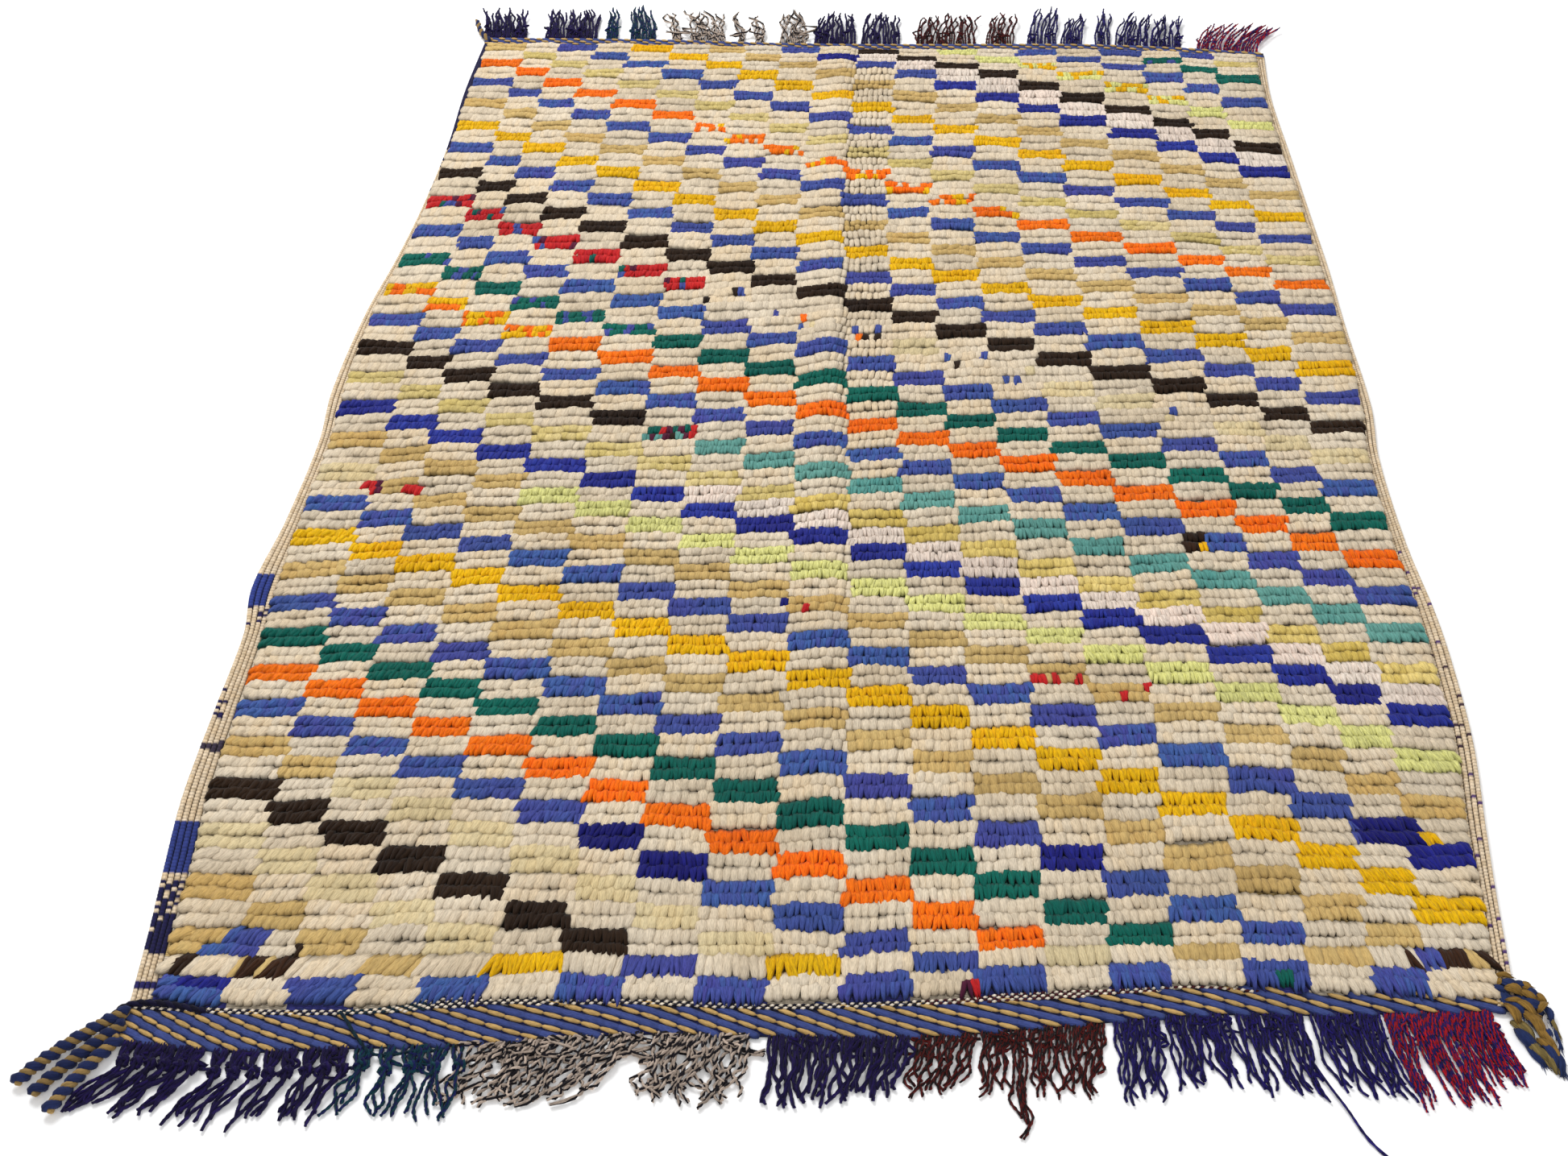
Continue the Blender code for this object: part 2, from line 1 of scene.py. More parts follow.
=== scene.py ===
"""Looks of a hand-knotted checkerboard rug: every knot, wrap, twined stitch and fringe yarn.

Metres, +Z up, in the CAD's own frame: +Y runs along the rug and its underside lies on z = 0.
"""

import math

import bpy
import numpy as np
from mathutils import Matrix, Vector, noise


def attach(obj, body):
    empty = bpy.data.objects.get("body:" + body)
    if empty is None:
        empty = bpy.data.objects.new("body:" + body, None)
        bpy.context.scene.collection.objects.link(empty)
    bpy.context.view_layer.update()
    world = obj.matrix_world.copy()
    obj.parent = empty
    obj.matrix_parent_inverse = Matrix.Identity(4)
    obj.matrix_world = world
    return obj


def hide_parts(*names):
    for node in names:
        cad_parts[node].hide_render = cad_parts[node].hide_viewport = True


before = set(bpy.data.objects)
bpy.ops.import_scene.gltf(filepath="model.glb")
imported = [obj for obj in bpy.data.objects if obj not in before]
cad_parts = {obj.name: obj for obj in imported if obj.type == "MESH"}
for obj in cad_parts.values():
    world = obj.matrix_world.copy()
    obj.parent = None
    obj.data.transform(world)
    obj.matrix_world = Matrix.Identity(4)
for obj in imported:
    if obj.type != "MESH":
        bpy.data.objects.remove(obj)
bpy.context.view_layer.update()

BODY = "root"
MILLIMETRE = 0.001
UP = np.array((0.0, 0.0, 1.0))
OUTWARD = {"near": -1.0, "far": 1.0, "left": -1.0, "right": 1.0}

# Outline, fold and lumps of the rug: the same tables as the CAD has
FOLD_REACH = 0.085
FOLD_CREST = 0.028
FOLD_VALLEY = 0.35
FOLD_RIGHT = 0.020
FOLD_COLUMNS = ("y", "crease", "ridge")
FOLD_ROWS = (
    (1.08, -0.018, 0.0040),
    (0.60, -0.012, 0.0040),
    (0.25, -0.007, 0.0060),
    (0.08, -0.004, 0.0095),
    (-0.10, 0.002, 0.0060),
    (-0.50, 0.015, 0.0040),
    (-1.10, 0.021, 0.0030),
)
SIDE_COLUMNS = ("y", "outer_left", "pile_left", "pile_right", "outer_right")
SIDE_ROWS = (
    (1.08, -0.724, -0.711, 0.712, 0.735),
    (0.90, -0.730, -0.715, 0.711, 0.727),
    (0.70, -0.727, -0.713, 0.714, 0.736),
    (0.50, -0.735, -0.719, 0.722, 0.745),
    (0.35, -0.748, -0.728, 0.728, 0.752),
    (0.20, -0.766, -0.744, 0.736, 0.755),
    (0.00, -0.775, -0.746, 0.738, 0.763),
    (-0.12, -0.767, -0.742, 0.733, 0.755),
    (-0.30, -0.774, -0.748, 0.741, 0.762),
    (-0.43, -0.787, -0.752, 0.750, 0.776),
    (-0.52, -0.775, -0.749, 0.753, 0.781),
    (-0.66, -0.777, -0.749, 0.754, 0.781),
    (-0.80, -0.778, -0.747, 0.743, 0.769),
    (-0.90, -0.770, -0.738, 0.739, 0.761),
    (-1.00, -0.760, -0.733, 0.733, 0.755),
    (-1.12, -0.751, -0.727, 0.727, 0.746),
)
END_COLUMNS = ("x", "pile_near", "band_near", "pile_far", "band_far")
END_ROWS = (
    (-0.76, -1.103, -1.150, 1.078, 1.106),
    (-0.62, -1.108, -1.161, 1.073, 1.104),
    (-0.50, -1.105, -1.152, 1.073, 1.103),
    (-0.36, -1.091, -1.142, 1.068, 1.099),
    (-0.20, -1.085, -1.122, 1.062, 1.090),
    (-0.05, -1.083, -1.121, 1.056, 1.086),
    (0.10, -1.070, -1.119, 1.054, 1.086),
    (0.25, -1.056, -1.100, 1.056, 1.088),
    (0.40, -1.043, -1.078, 1.055, 1.088),
    (0.55, -1.040, -1.067, 1.050, 1.079),
    (0.68, -1.045, -1.065, 1.040, 1.064),
    (0.76, -1.045, -1.062, 1.034, 1.054),
)
GROUND_RISE = 0.85
PILE_TOP = 0.0145
PILE_LUMP = 0.0022
LUMP_PITCH = 0.085
# Layers of noise for lumps, waves and leans, which keep them apart
LUMP_LAYER = 0.5
WAVE_LAYER = 3.5
LEAN_LAYER = 7.5

# Checks: their rows are counted from the far end and their columns from the left
CHECK_ROWS = 59
FIRST_ROW_EDGE = 0.5
LAST_ROW_EDGE = CHECK_ROWS + 0.5
SHALLOW_ROW = 58
END_ROWS_DRAWN_IN = 3.0
# Each row: a row of checks, and how far along the rug it lies at each of the places across
ROW_PLACES = (-1.0, -0.55, -0.2, 0.0, 0.3, 0.65, 1.0)
ROW_LINES = (
    (0.5, 1.093, 1.088, 1.097, 1.104, 1.094, 1.095, 1.079),
    (3.0, 1.000, 0.996, 0.999, 1.006, 0.998, 0.998, 0.984),
    (7.0, 0.852, 0.848, 0.842, 0.842, 0.842, 0.837, 0.825),
    (13.0, 0.610, 0.615, 0.614, 0.614, 0.614, 0.606, 0.594),
    (17.0, 0.432, 0.448, 0.450, 0.458, 0.464, 0.465, 0.459),
    (21.0, 0.259, 0.273, 0.295, 0.306, 0.316, 0.330, 0.336),
    (25.0, 0.102, 0.117, 0.135, 0.157, 0.169, 0.184, 0.199),
    (29.0, -0.046, -0.026, -0.010, 0.003, 0.015, 0.034, 0.048),
    (33.0, -0.195, -0.170, -0.157, -0.135, -0.121, -0.100, -0.089),
    (37.0, -0.335, -0.302, -0.292, -0.278, -0.256, -0.241, -0.225),
    (41.0, -0.467, -0.435, -0.418, -0.413, -0.407, -0.383, -0.371),
    (45.0, -0.595, -0.577, -0.558, -0.546, -0.531, -0.523, -0.510),
    (49.0, -0.722, -0.710, -0.701, -0.686, -0.672, -0.659, -0.662),
    (53.0, -0.863, -0.847, -0.850, -0.841, -0.824, -0.809, -0.808),
    (57.0, -1.016, -1.001, -0.998, -0.994, -0.977, -0.962, -0.956),
    (58.0, -1.040, -1.026, -1.024, -1.019, -1.002, -0.986, -0.980),
    (59.0, -1.071, -1.058, -1.057, -1.053, -1.035, -1.019, -1.012),
    (59.5, -1.092, -1.079, -1.078, -1.074, -1.057, -1.040, -1.033),
)
# Each row: a row of checks, and how far its columns have drifted sideways, in millimetres
DRIFT_PLACES = (-1.0, -0.72, -0.36, 0.0, 0.36, 0.72, 1.0)
DRIFT_ROWS = (
    (0.5, 0, -4, 2, 6, 0, 0, 0),
    (5.0, 0, -16, -5, -3, -1, -2, 0),
    (13.0, -4, -19, -14, -13, -18, -3, 6),
    (17.0, -4, -19, -14, -13, -24, -7, 7),
    (21.0, -4, -16, -7, -7, -22, -7, 7),
    (29.0, -4, -15, 3, 1, -15, -5, 7),
    (37.0, 0, -3, -1, 3, 1, 3, 0),
    (45.0, 0, 2, -1, 3, 4, 5, 0),
    (52.0, 0, -5, -3, 6, 10, 6, 0),
    (59.5, 0, -3, -8, 8, 9, 0, 0),
)
CHECK_EDGES = (
    -1.0, -0.887, -0.796, -0.696, -0.601, -0.496, -0.395, -0.300, -0.202, -0.102,
    0.0, 0.104, 0.204, 0.306, 0.408, 0.508, 0.617, 0.722, 0.813, 0.898, 1.0,
)
CHECK_COLUMNS = len(CHECK_EDGES) - 1
KNOTS_IN_CHECK = 8
DIAGONAL_START = 18
LINE_STEP = 0.25

# Yarn of each diagonal of checks, from the far right corner to the near left one
DIAGONALS = (
    ((19, 19, "cobalt"), (20, 20, "pale")),
    ((17, 17, "cobalt"), (18, 18, "sea"), (19, 20, "green")),
    ((15, 20, "cobalt"),),
    ((13, 14, "lime"), (15, 18, "citrus"), (19, 20, "lime")),
    ((11, 20, "black"),),
    ((9, 9, "cobalt"), (10, 10, "navy"), (11, 12, "cobalt"), (13, 20, "royal")),
    ((7, 20, "tan"),),
    ((5, 20, "gold"),),
    ((3, 20, "cobalt"),),
    ((1, 1, "tan"), (2, 20, "pale")),
    ((1, 6, "orange"), (7, 14, "ember"), (15, 20, "orange")),
    ((1, 20, "cobalt"),),
    ((1, 20, "tan"),),
    ((1, 20, "gold"),),
    ((1, 20, "cobalt"),),
    ((1, 20, "black"),),
    ((1, 7, "ruby"), (8, 11, "flecked"), (12, 12, "sand"), (13, 14, "flecked"),
     (15, 16, "sand"), (17, 17, "flecked"), (18, 20, "sand")),
    ((1, 20, "cobalt"),),
    ((1, 2, "sea"), (3, 3, "green"), (4, 6, "sea"), (7, 20, "green")),
    ((1, 4, "amber"), (5, 20, "orange")),
    ((1, 20, "cobalt"),),
    ((1, 6, "black"), (7, 7, "motley"), (8, 20, "teal")),
    ((1, 9, "pale"), (10, 20, "straw")),
    ((1, 20, "royal"),),
    ((1, 4, "tan"), (5, 20, "lime")),
    ((1, 1, "sand"), (2, 20, "tan")),
    ((1, 19, "cobalt"), (20, 20, "navy")),
    ((1, 20, "gold"),),
    ((1, 20, "tan"),),
    ((1, 13, "cobalt"), (14, 14, "navy"), (15, 17, "cobalt"), (18, 18, "tan"),
     (19, 19, "cobalt")),
    ((1, 15, "green"), (16, 16, "tan"), (17, 17, "cobalt")),
    ((1, 13, "orange"), (14, 14, "sand"), (15, 15, "cobalt")),
    ((1, 6, "cobalt"), (7, 8, "navy"), (9, 13, "cobalt")),
    ((1, 2, "tan"), (3, 9, "sand"), (10, 10, "gold"), (11, 11, "cobalt")),
    ((1, 7, "black"), (8, 9, "cobalt")),
    ((1, 5, "sand"), (6, 6, "gold"), (7, 7, "cobalt")),
    ((1, 4, "tan"), (5, 5, "cobalt")),
    ((1, 2, "tan"), (3, 3, "cobalt")),
    ((1, 1, "cobalt"),),
)
# Cream checks that were knotted in a pinker wool: half diagonal and first column
PINK_HALVES = {4.5: 11, 22.5: 8}

# Checks knotted from leftovers: share of each yarn
MIXES = {
    "citrus": (("lime", 0.55), ("gold", 0.45)),
    "ember": (("orange", 0.62), ("cream", 0.24), ("gold", 0.14)),
    "ruby": (("red", 0.78), ("cobalt", 0.10), ("green", 0.05), ("plum", 0.07)),
    "flecked": (("cream", 0.76), ("cobalt", 0.09), ("black", 0.06), ("sand", 0.06),
                ("orange", 0.03)),
    "sea": (("green", 0.78), ("cobalt", 0.22)),
    "amber": (("gold", 0.58), ("orange", 0.42)),
    "motley": (("teal", 0.35), ("plum", 0.20), ("green", 0.20), ("red", 0.12), ("black", 0.13)),
}

# Stray tufts tied in with odd yarn: middle, half sizes and yarn
SPOTS = (
    (-0.659, -1.026, 0.034, 0.010, "cobalt"),
    (-0.636, -1.006, 0.022, 0.009, "cobalt"),
    (-0.626, -1.048, 0.010, 0.014, "umber"),
    (-0.676, -1.070, 0.030, 0.012, "navy"),
    (-0.582, -1.026, 0.006, 0.009, "black"),
    (-0.592, -1.052, 0.011, 0.008, "umber"),
    (0.644, -0.994, 0.006, 0.009, "umber"),
    (0.668, -0.992, 0.014, 0.010, "cobalt"),
    (0.694, -0.994, 0.009, 0.009, "umber"),
    (0.728, -0.988, 0.007, 0.010, "umber"),
    (-0.037, -0.453, 0.006, 0.009, "red"),
    (-0.064, -0.435, 0.005, 0.009, "navy"),
    (-0.668, -0.225, 0.008, 0.010, "red"),
    (-0.652, -0.225, 0.006, 0.010, "plum"),
    (-0.602, -0.232, 0.012, 0.009, "red"),
    (0.258, -0.575, 0.008, 0.010, "red"),
    (0.282, -0.574, 0.006, 0.010, "red"),
    (0.309, -0.573, 0.007, 0.010, "red"),
    (0.364, -0.598, 0.006, 0.010, "red"),
    (0.396, -0.586, 0.006, 0.010, "red"),
    (0.477, -0.312, 0.014, 0.010, "umber"),
    (0.488, -0.322, 0.005, 0.008, "gold"),
    (0.655, -0.812, 0.036, 0.022, "navy"),
    (0.700, -0.812, 0.010, 0.010, "gold"),
    (0.509, -1.030, 0.007, 0.012, "green"),
    (0.160, -1.055, 0.004, 0.008, "plum"),
    (0.170, -1.052, 0.004, 0.008, "red"),
    (-0.708, -1.046, 0.008, 0.012, "umber"),
)

# Yarns: main and second colour in sRGB, locks to a knot, how far the tips reach, silkiness
YARN_COLUMNS = ("colour", "second", "locks", "reach", "silk")
YARNS = {
    "cream": ((210, 196, 174), (196, 177, 148), 1, 1.00, 0.0),
    "pink": ((219, 205, 191), (211, 192, 178), 2, 1.15, 0.2),
    "sand": ((207, 191, 152), (191, 172, 130), 1, 1.00, 0.0),
    "tan": ((194, 166, 108), (176, 145, 88), 1, 1.00, 0.0),
    "pale": ((192, 172, 102), (196, 178, 128), 1, 1.00, 0.0),
    "straw": ((194, 167, 78), (204, 182, 112), 1, 1.00, 0.1),
    "lime": ((212, 210, 134), (196, 194, 118), 2, 1.15, 0.5),
    "gold": ((224, 176, 0), (206, 152, 0), 2, 1.25, 0.4),
    "orange": ((234, 112, 6), (224, 92, 2), 2, 1.20, 0.4),
    "red": ((196, 34, 32), (160, 20, 28), 2, 1.30, 0.3),
    "plum": ((92, 22, 52), (60, 18, 44), 2, 1.30, 0.2),
    "green": ((2, 96, 82), (0, 74, 66), 2, 1.20, 0.3),
    "teal": ((98, 152, 142), (70, 128, 122), 2, 1.15, 0.2),
    "cobalt": ((64, 66, 142), (54, 82, 140), 2, 1.25, 0.5),
    "royal": ((28, 32, 120), (36, 50, 138), 2, 1.30, 0.6),
    "navy": ((12, 10, 92), (26, 30, 120), 2, 1.50, 0.5),
    "black": ((42, 26, 12), (28, 16, 8), 2, 1.20, 0.1),
    "umber": ((54, 30, 14), (30, 18, 10), 2, 1.30, 0.1),
}

# Form and painted shade of a lock from its root to its tip. Lengths are shares of the room that its
# line takes
LOCK_PLACES = np.array((-0.58, -0.10, 0.44, 0.62))
LOCK_WIDTHS = np.array((0.80, 1.00, 0.84, 0.0))
LOCK_HEIGHTS = np.array((0.56, 1.00, 0.92, 0.52))
# Painted shade along a lock, 0 full and 1 none: darkest at the root, darker again at the low tip
LOCK_PAINTED_SHADE = np.array((0.28, 1.00, 0.96, 0.50))
# How far each of those places takes part in what happens to the tips
TIP_PARTS = np.array((0.0, 0.0, 0.8, 1.0))
# Outlines of a plain knot's lock and of a dyed knot's lock
LOCK_SECTIONS = (
    ((0.88, 0.0), (0.97, 0.80), (0.0, 1.0), (-0.97, 0.80), (-0.88, 0.0)),
    ((0.90, 0.0), (0.66, 0.98), (-0.66, 0.98), (-0.90, 0.0)),
)
LOCK_SLIMNESS = (1.0, 0.66)
NARROW_TIPS = (0.22, 0.28)
LONG_TIPS = 0.14
LOW_TIPS = 0.10
WIDE_LOCK = 1.40
WIDER_FAR = 0.70
DYED_MATTED = 0.50
WIDTH_JITTER = 0.24
REACH_JITTER = 0.13
SHAG_REACH = 0.18
SIDE_JITTER = 0.10
# Jitter along the rug of plain locks and of far dyed ones, in rows
ALONG_JITTER = (0.060, 0.034)
# Jitter in height of single locks and of matted ones
TOP_JITTER = (0.09, 0.03)
MOST_LOCKS = 7000
GROUND_TOP = 0.0032

# Waves, leans and shades of the pile, and where it turns shaggy
ROW_WAVE = 0.14
WAVE_PITCH = 0.09
WAVE_STRETCH = 0.08
LEAN_LEFT = 0.70
LEAN_RIGHT = 0.50
LEAN_FAR = 0.22
LEAN_CURVE = 1.6
LEAN_NOISE = 0.30
LEAN_PITCH = 0.14
LEAN_JITTER = 0.13
DYED_LEAN_JITTER = 0.14
SHAG_START = -0.50
SHAG_FULL = -1.02
SIDE_SHAG = 0.5
SIDE_SHAG_START = 5 / 6
SHADE_SHARE = 0.55
PILE_TONES = (0.80, 1.18)
EDGE_WAVER = 0.0055
CHECK_WAVER = 0.07

# Rims of the pile along the selvedges, and the rows over which the left one draws in
RIM_START = 0.955
RIM_LEAN = 0.22
RIM_REACH = 1.05
LEFT_RIM_IN = 0.008
LEFT_RIM_ROWS = (36, 44)

# Last lines of knots by the near band, shorter and further in so that the dots show
LAST_ROWS = (CHECK_ROWS - 0.4, CHECK_ROWS + 0.2)
LAST_LINES_IN = 0.24
LAST_LINE_SHORT = 0.26
DOTS_END = 0.50
DOTS_FADE = 0.12
RIGHT_SHARE = 0.65

# Stretch right of the crease where the pile opens into single knots: its left and right edges
# and its near end, each from where it is closed to where it is fully open
OPEN_FROM = (-0.02, 0.00)
OPEN_TO = (0.11, 0.08)
OPEN_FADE = (40, 26)
OPEN_LOCK = 1.12
OPEN_SHORT = 0.03

# How far plain wool swells into the rows of dyed wool, far and near
PLAIN_KEYS = ("cream", "pink", "sand", "flecked")
BULGE_START = 14
BULGE_END = 38
BULGE_FAR = 0.34
BULGE_NEAR = 0.06
BULGE_ROUND = 0.75

# Selvedges
FAR_TOP = 1.07
NEAR_TOP = -1.10
SELVEDGE_TOP = 0.0064
SELVEDGE_CORDS = 4
SEAM_GAP = 0.0003
WRAP_PITCH = 0.0052
WRAP_WAIST = 0.88
WRAP_WOBBLE = 0.04
WRAP_HALF = 0.54
SELVEDGE_BEIGE = (208, 184, 150)
SELVEDGE_PALE = (222, 202, 174)
WRAP_SECTION = ((1.0, 0.0), (0.62, 0.92), (-0.62, 0.92), (-1.0, 0.0))
# Stretches wrapped in other yarn: from, to, share of the wraps, first cord from inside, colour
WRAP_COLUMNS = ("low", "high", "share", "cord", "colour")
WRAP_PATCHES = {
    "left": (
        (0.700, 1.100, 1.00, 0, (40, 38, 74)),
        (0.560, 0.700, 0.25, 2, (40, 38, 74)),
        (-0.466, -0.404, 1.00, 1, (48, 62, 132)),
        (-0.500, -0.466, 0.30, 0, (32, 28, 74)),
        (-0.760, -0.600, 0.16, 2, (32, 28, 74)),
        (-0.726, -0.708, 0.60, 0, (60, 50, 66)),
        (-0.917, -0.835, 1.00, 0, (46, 58, 122)),
        (-0.983, -0.926, 0.70, 0, (28, 26, 66)),
        (-1.030, -0.986, 0.94, 0, (28, 26, 66)),
        (-1.078, -1.070, 1.00, 0, (40, 36, 92)),
        (-1.110, -1.098, 0.90, 0, (26, 26, 60)),
    ),
    "right": (
        (-1.030, -0.300, 0.07, 1, (84, 60, 110)),
        (-0.700, -0.500, 0.10, 0, (64, 44, 56)),
        (-1.060, -1.030, 0.40, 0, (72, 50, 120)),
    ),
}

# Twined bands. BAND_SHIFTS: places along x, and how far the near band's inner and outer edges
# lie inwards there
BAND_SHIFTS = ((-0.77, -0.60, -0.20, 0.10, 0.25, 0.42, 0.55, 0.68, 0.78),
               (0.000, 0.002, 0.008, 0.002, 0.002, 0.009, 0.002, 0.013, 0.015),
               (0.004, 0.007, 0.006, 0.011, 0.010, 0.009, 0.004, 0.011, 0.014))
BAND_STEPS = 160
# Jitter of a stitch's place and of a dot's, in metres
STITCH_JITTER = 0.0008
DOT_JITTER = 0.0004
SLOPE_SPAN = 0.01
BAND_TOP = 0.0072
BAND_BASE = 0.0036
BAND_BLUE = (54, 66, 118)
BAND_TAN = (176, 144, 90)
BAND_COLUMNS = ("row_pitch", "stitch_pitch", "widening", "slant", "blue_wide", "tan_wide")
BANDS = {
    "near": (0.0083, 0.0360, 0.0070, 0.40, 0.0108, 0.0064),
    "far": (0.0090, 0.0240, 0.0000, 0.20, 0.0100, 0.0058),
}
DOT_PITCH = 0.0096
DOT_ROW_PITCH = 0.0036
DOT_LEVEL = 0.0054
DOT_RISE = 0.00032
DOT_SLANT = 0.18
# Dots between the pile and the near band: x and the number of rows there
DOT_ROWS = ((-0.76, 2), (-0.47, 2), (-0.42, 5), (-0.31, 4), (-0.27, 2), (0.17, 2), (0.20, 3),
            (0.27, 3), (0.31, 2), (0.44, 1), (0.52, 0), (0.76, 0))
# Dark yarn of the dots to the right of each x
DOT_DARKS = ((-1.0, (26, 24, 40)), (-0.52, (20, 40, 52)), (-0.42, (26, 24, 36)),
             (0.12, (66, 26, 32)))
DOT_CREAM = (216, 204, 186)
BED_BLUE = (30, 36, 84)
BED_SECTION = ((0.98, 0.0), (0.98, 1.0), (-0.98, 1.0), (-0.98, 0.0))
# Stitches: length in pitches, height in widths, how far down they lie, bluntness and colour
STITCHES = {
    "blue": (0.78, 0.56, 0.0008, 0.50, BAND_BLUE),
    "tan": (0.62, 0.66, 0.0000, 0.15, BAND_TAN),
}
# Length, width, height and bluntness of a dot
DOT_SIZE = (0.0066, 0.0040, 0.0036, 0.3)
SPINDLE_SIDES = 6
# Outlines of a stitch and of a dot: places along it, and how near it is to its full width
STITCH = ((-0.5, 0.0), (-0.34, 0.72), (0.0, 1.0), (0.34, 0.72), (0.5, 0.0))
DOT = ((-0.5, 0.0), (0.0, 1.0), (0.5, 0.0))

# Fringe
ROOT_SWELL = 0.40
SWELL_SPAN = (0.40, 0.15)
YARN_TIP = 0.7
YARN_REST = 1.4
PLY_SHADES = (0.75, 1.25)
YARN_STEPS = {"near": 20, "far": 12}
FAR_RISE = 0.014
SHORT_SHARE = 0.32
# Fringes whose yarns are gathered in knots, and how many yarns to a knot
KNOTTED = {"near_navy_left": 4, "near_teal": 4}
KNOT_PLACE = 0.34
# Clumps of yarn of each dyed stretch: from and to at the band and at the tips, reach, yarns
CLUMP_COLUMNS = ("root_from", "root_to", "tip_from", "tip_to", "reach", "yarns")
NEAR_CLUMPS = {
    "navy_left": (
        (-0.744, -0.652, -0.788, -0.694, 0.086, 24),
        (-0.645, -0.592, -0.680, -0.622, 0.098, 10),
        (-0.586, -0.552, -0.614, -0.578, 0.100, 7),
        (-0.546, -0.498, -0.560, -0.520, 0.096, 10),
    ),
    "teal": (
        (-0.490, -0.470, -0.510, -0.484, 0.086, 4),
        (-0.464, -0.446, -0.470, -0.448, 0.104, 3),
        (-0.440, -0.374, -0.442, -0.377, 0.097, 10),
    ),
    "marled": (
        (-0.366, -0.300, -0.400, -0.330, 0.074, 11),
        (-0.320, -0.182, -0.336, -0.262, 0.086, 24),
        (-0.172, -0.112, -0.184, -0.136, 0.084, 14),
        (-0.120, -0.066, -0.122, -0.082, 0.088, 10),
    ),
    "navy_mid": (
        (-0.050, 0.020, -0.046, 0.010, 0.088, 17),
        (0.024, 0.102, 0.020, 0.080, 0.082, 19),
    ),
    "maroon": (
        (0.109, 0.174, 0.098, 0.152, 0.076, 18),
        (0.178, 0.208, 0.176, 0.205, 0.082, 8),
        (0.210, 0.226, 0.210, 0.226, 0.130, 5),
        (0.230, 0.312, 0.236, 0.304, 0.090, 22),
    ),
    "indigo": (
        (0.320, 0.370, 0.328, 0.366, 0.104, 15),
        (0.375, 0.444, 0.388, 0.466, 0.094, 21),
        (0.450, 0.524, 0.476, 0.540, 0.108, 21),
        (0.530, 0.606, 0.556, 0.630, 0.108, 23),
        (0.508, 0.512, 0.594, 0.598, 0.186, 1),
    ),
    "red": (
        (0.608, 0.630, 0.634, 0.650, 0.124, 10),
        (0.632, 0.688, 0.668, 0.714, 0.116, 28),
        (0.684, 0.722, 0.712, 0.760, 0.096, 22),
    ),
}
FAR_CLUMPS = {
    "navy_left": (
        (-0.730, -0.646, -0.742, -0.660, 0.104, 24),
        (-0.611, -0.512, -0.617, -0.520, 0.108, 26),
    ),
    "teal": (
        (-0.494, -0.472, -0.503, -0.479, 0.108, 7),
        (-0.448, -0.400, -0.461, -0.420, 0.118, 12),
    ),
    "marled": (
        (-0.368, -0.352, -0.400, -0.382, 0.104, 4),
        (-0.332, -0.266, -0.350, -0.284, 0.110, 12),
        (-0.241, -0.231, -0.260, -0.250, 0.104, 3),
        (-0.210, -0.192, -0.227, -0.210, 0.098, 4),
        (-0.166, -0.114, -0.160, -0.124, 0.118, 9),
    ),
    "navy_mid": (
        (-0.099, -0.019, -0.090, -0.024, 0.112, 17),
        (-0.010, 0.062, 0.000, 0.058, 0.110, 15),
    ),
    "maroon": (
        (0.092, 0.206, 0.104, 0.213, 0.108, 26),
        (0.223, 0.276, 0.236, 0.286, 0.106, 12),
    ),
    "indigo": (
        (0.299, 0.355, 0.316, 0.370, 0.128, 12),
        (0.362, 0.404, 0.386, 0.420, 0.102, 10),
        (0.425, 0.456, 0.440, 0.466, 0.132, 7),
        (0.463, 0.584, 0.488, 0.600, 0.112, 29),
    ),
    "red": (
        (0.612, 0.724, 0.640, 0.784, 0.092, 31),
    ),
}
# Each yarn: colours of its two plies, how far it wanders, and its form. The form of plied yarn is
# the radius of a ply, how far it winds off the middle, length of a turn, sides, slimness
PLIES = {
    "navy": ((32, 16, 84), (20, 8, 60), 0.0050, (0.0021, 0.0007, 0.020, 3, 1.0)),
    "teal": ((18, 28, 90), (10, 66, 80), 0.0050, (0.0018, 0.0010, 0.016, 3, 1.0)),
    "marled": ((204, 184, 168), (20, 14, 24), 0.0130, (0.0016, 0.0013, 0.016, 4, 0.86)),
    "maroon": ((96, 16, 12), (30, 12, 16), 0.0065, (0.0015, 0.0008, 0.016, 3, 1.0)),
    "indigo": ((34, 22, 112), (18, 10, 70), 0.0050, (0.0016, 0.0007, 0.020, 3, 1.0)),
    "red": ((178, 14, 34), (38, 22, 106), 0.0026, (0.0013, 0.0009, 0.015, 3, 1.0)),
}
# How yarns lie: those of the far end and the short matted ones against whole near ones
FAR_WANDER = 0.7
SHORT_WANDER = 2.2
WHOLE_REACH = (0.74, 1.02)
SHORT_REACH = (0.22, 0.42)
TIP_STRAY = 0.10
CURL = 0.4
CURL_WAVES = 2.7
ROOT_TUCK = 0.0015
MOST_LEVEL = 0.0060
PINCH = 0.85
PINCH_LENGTH = 0.16
# Loop of yarn round each knot
LOOP_FORM = (0.0022, 0.0014, 0.012, 4, 1.0)
LOOP_TURNS = np.linspace(-0.2, 1.25, 14) * 2 * math.pi
LOOP_HALF = (0.0062, 0.0036, 0.0036)
LOOP_CLIMB = 0.0030
LOOP_FLOOR = 0.0037
KNOT_LEVEL = 0.0070

# Corner tails, cords and knot
TAIL_ROOT_X = -0.748
# Height of a tail's root, middle and tip
TAIL_LEVELS = (0.0090, 0.0094, 0.0088)
TAIL_FORM = (0.0050, 0.0036, 0.018, 8, 0.68)
TAIL_STEPS = 44
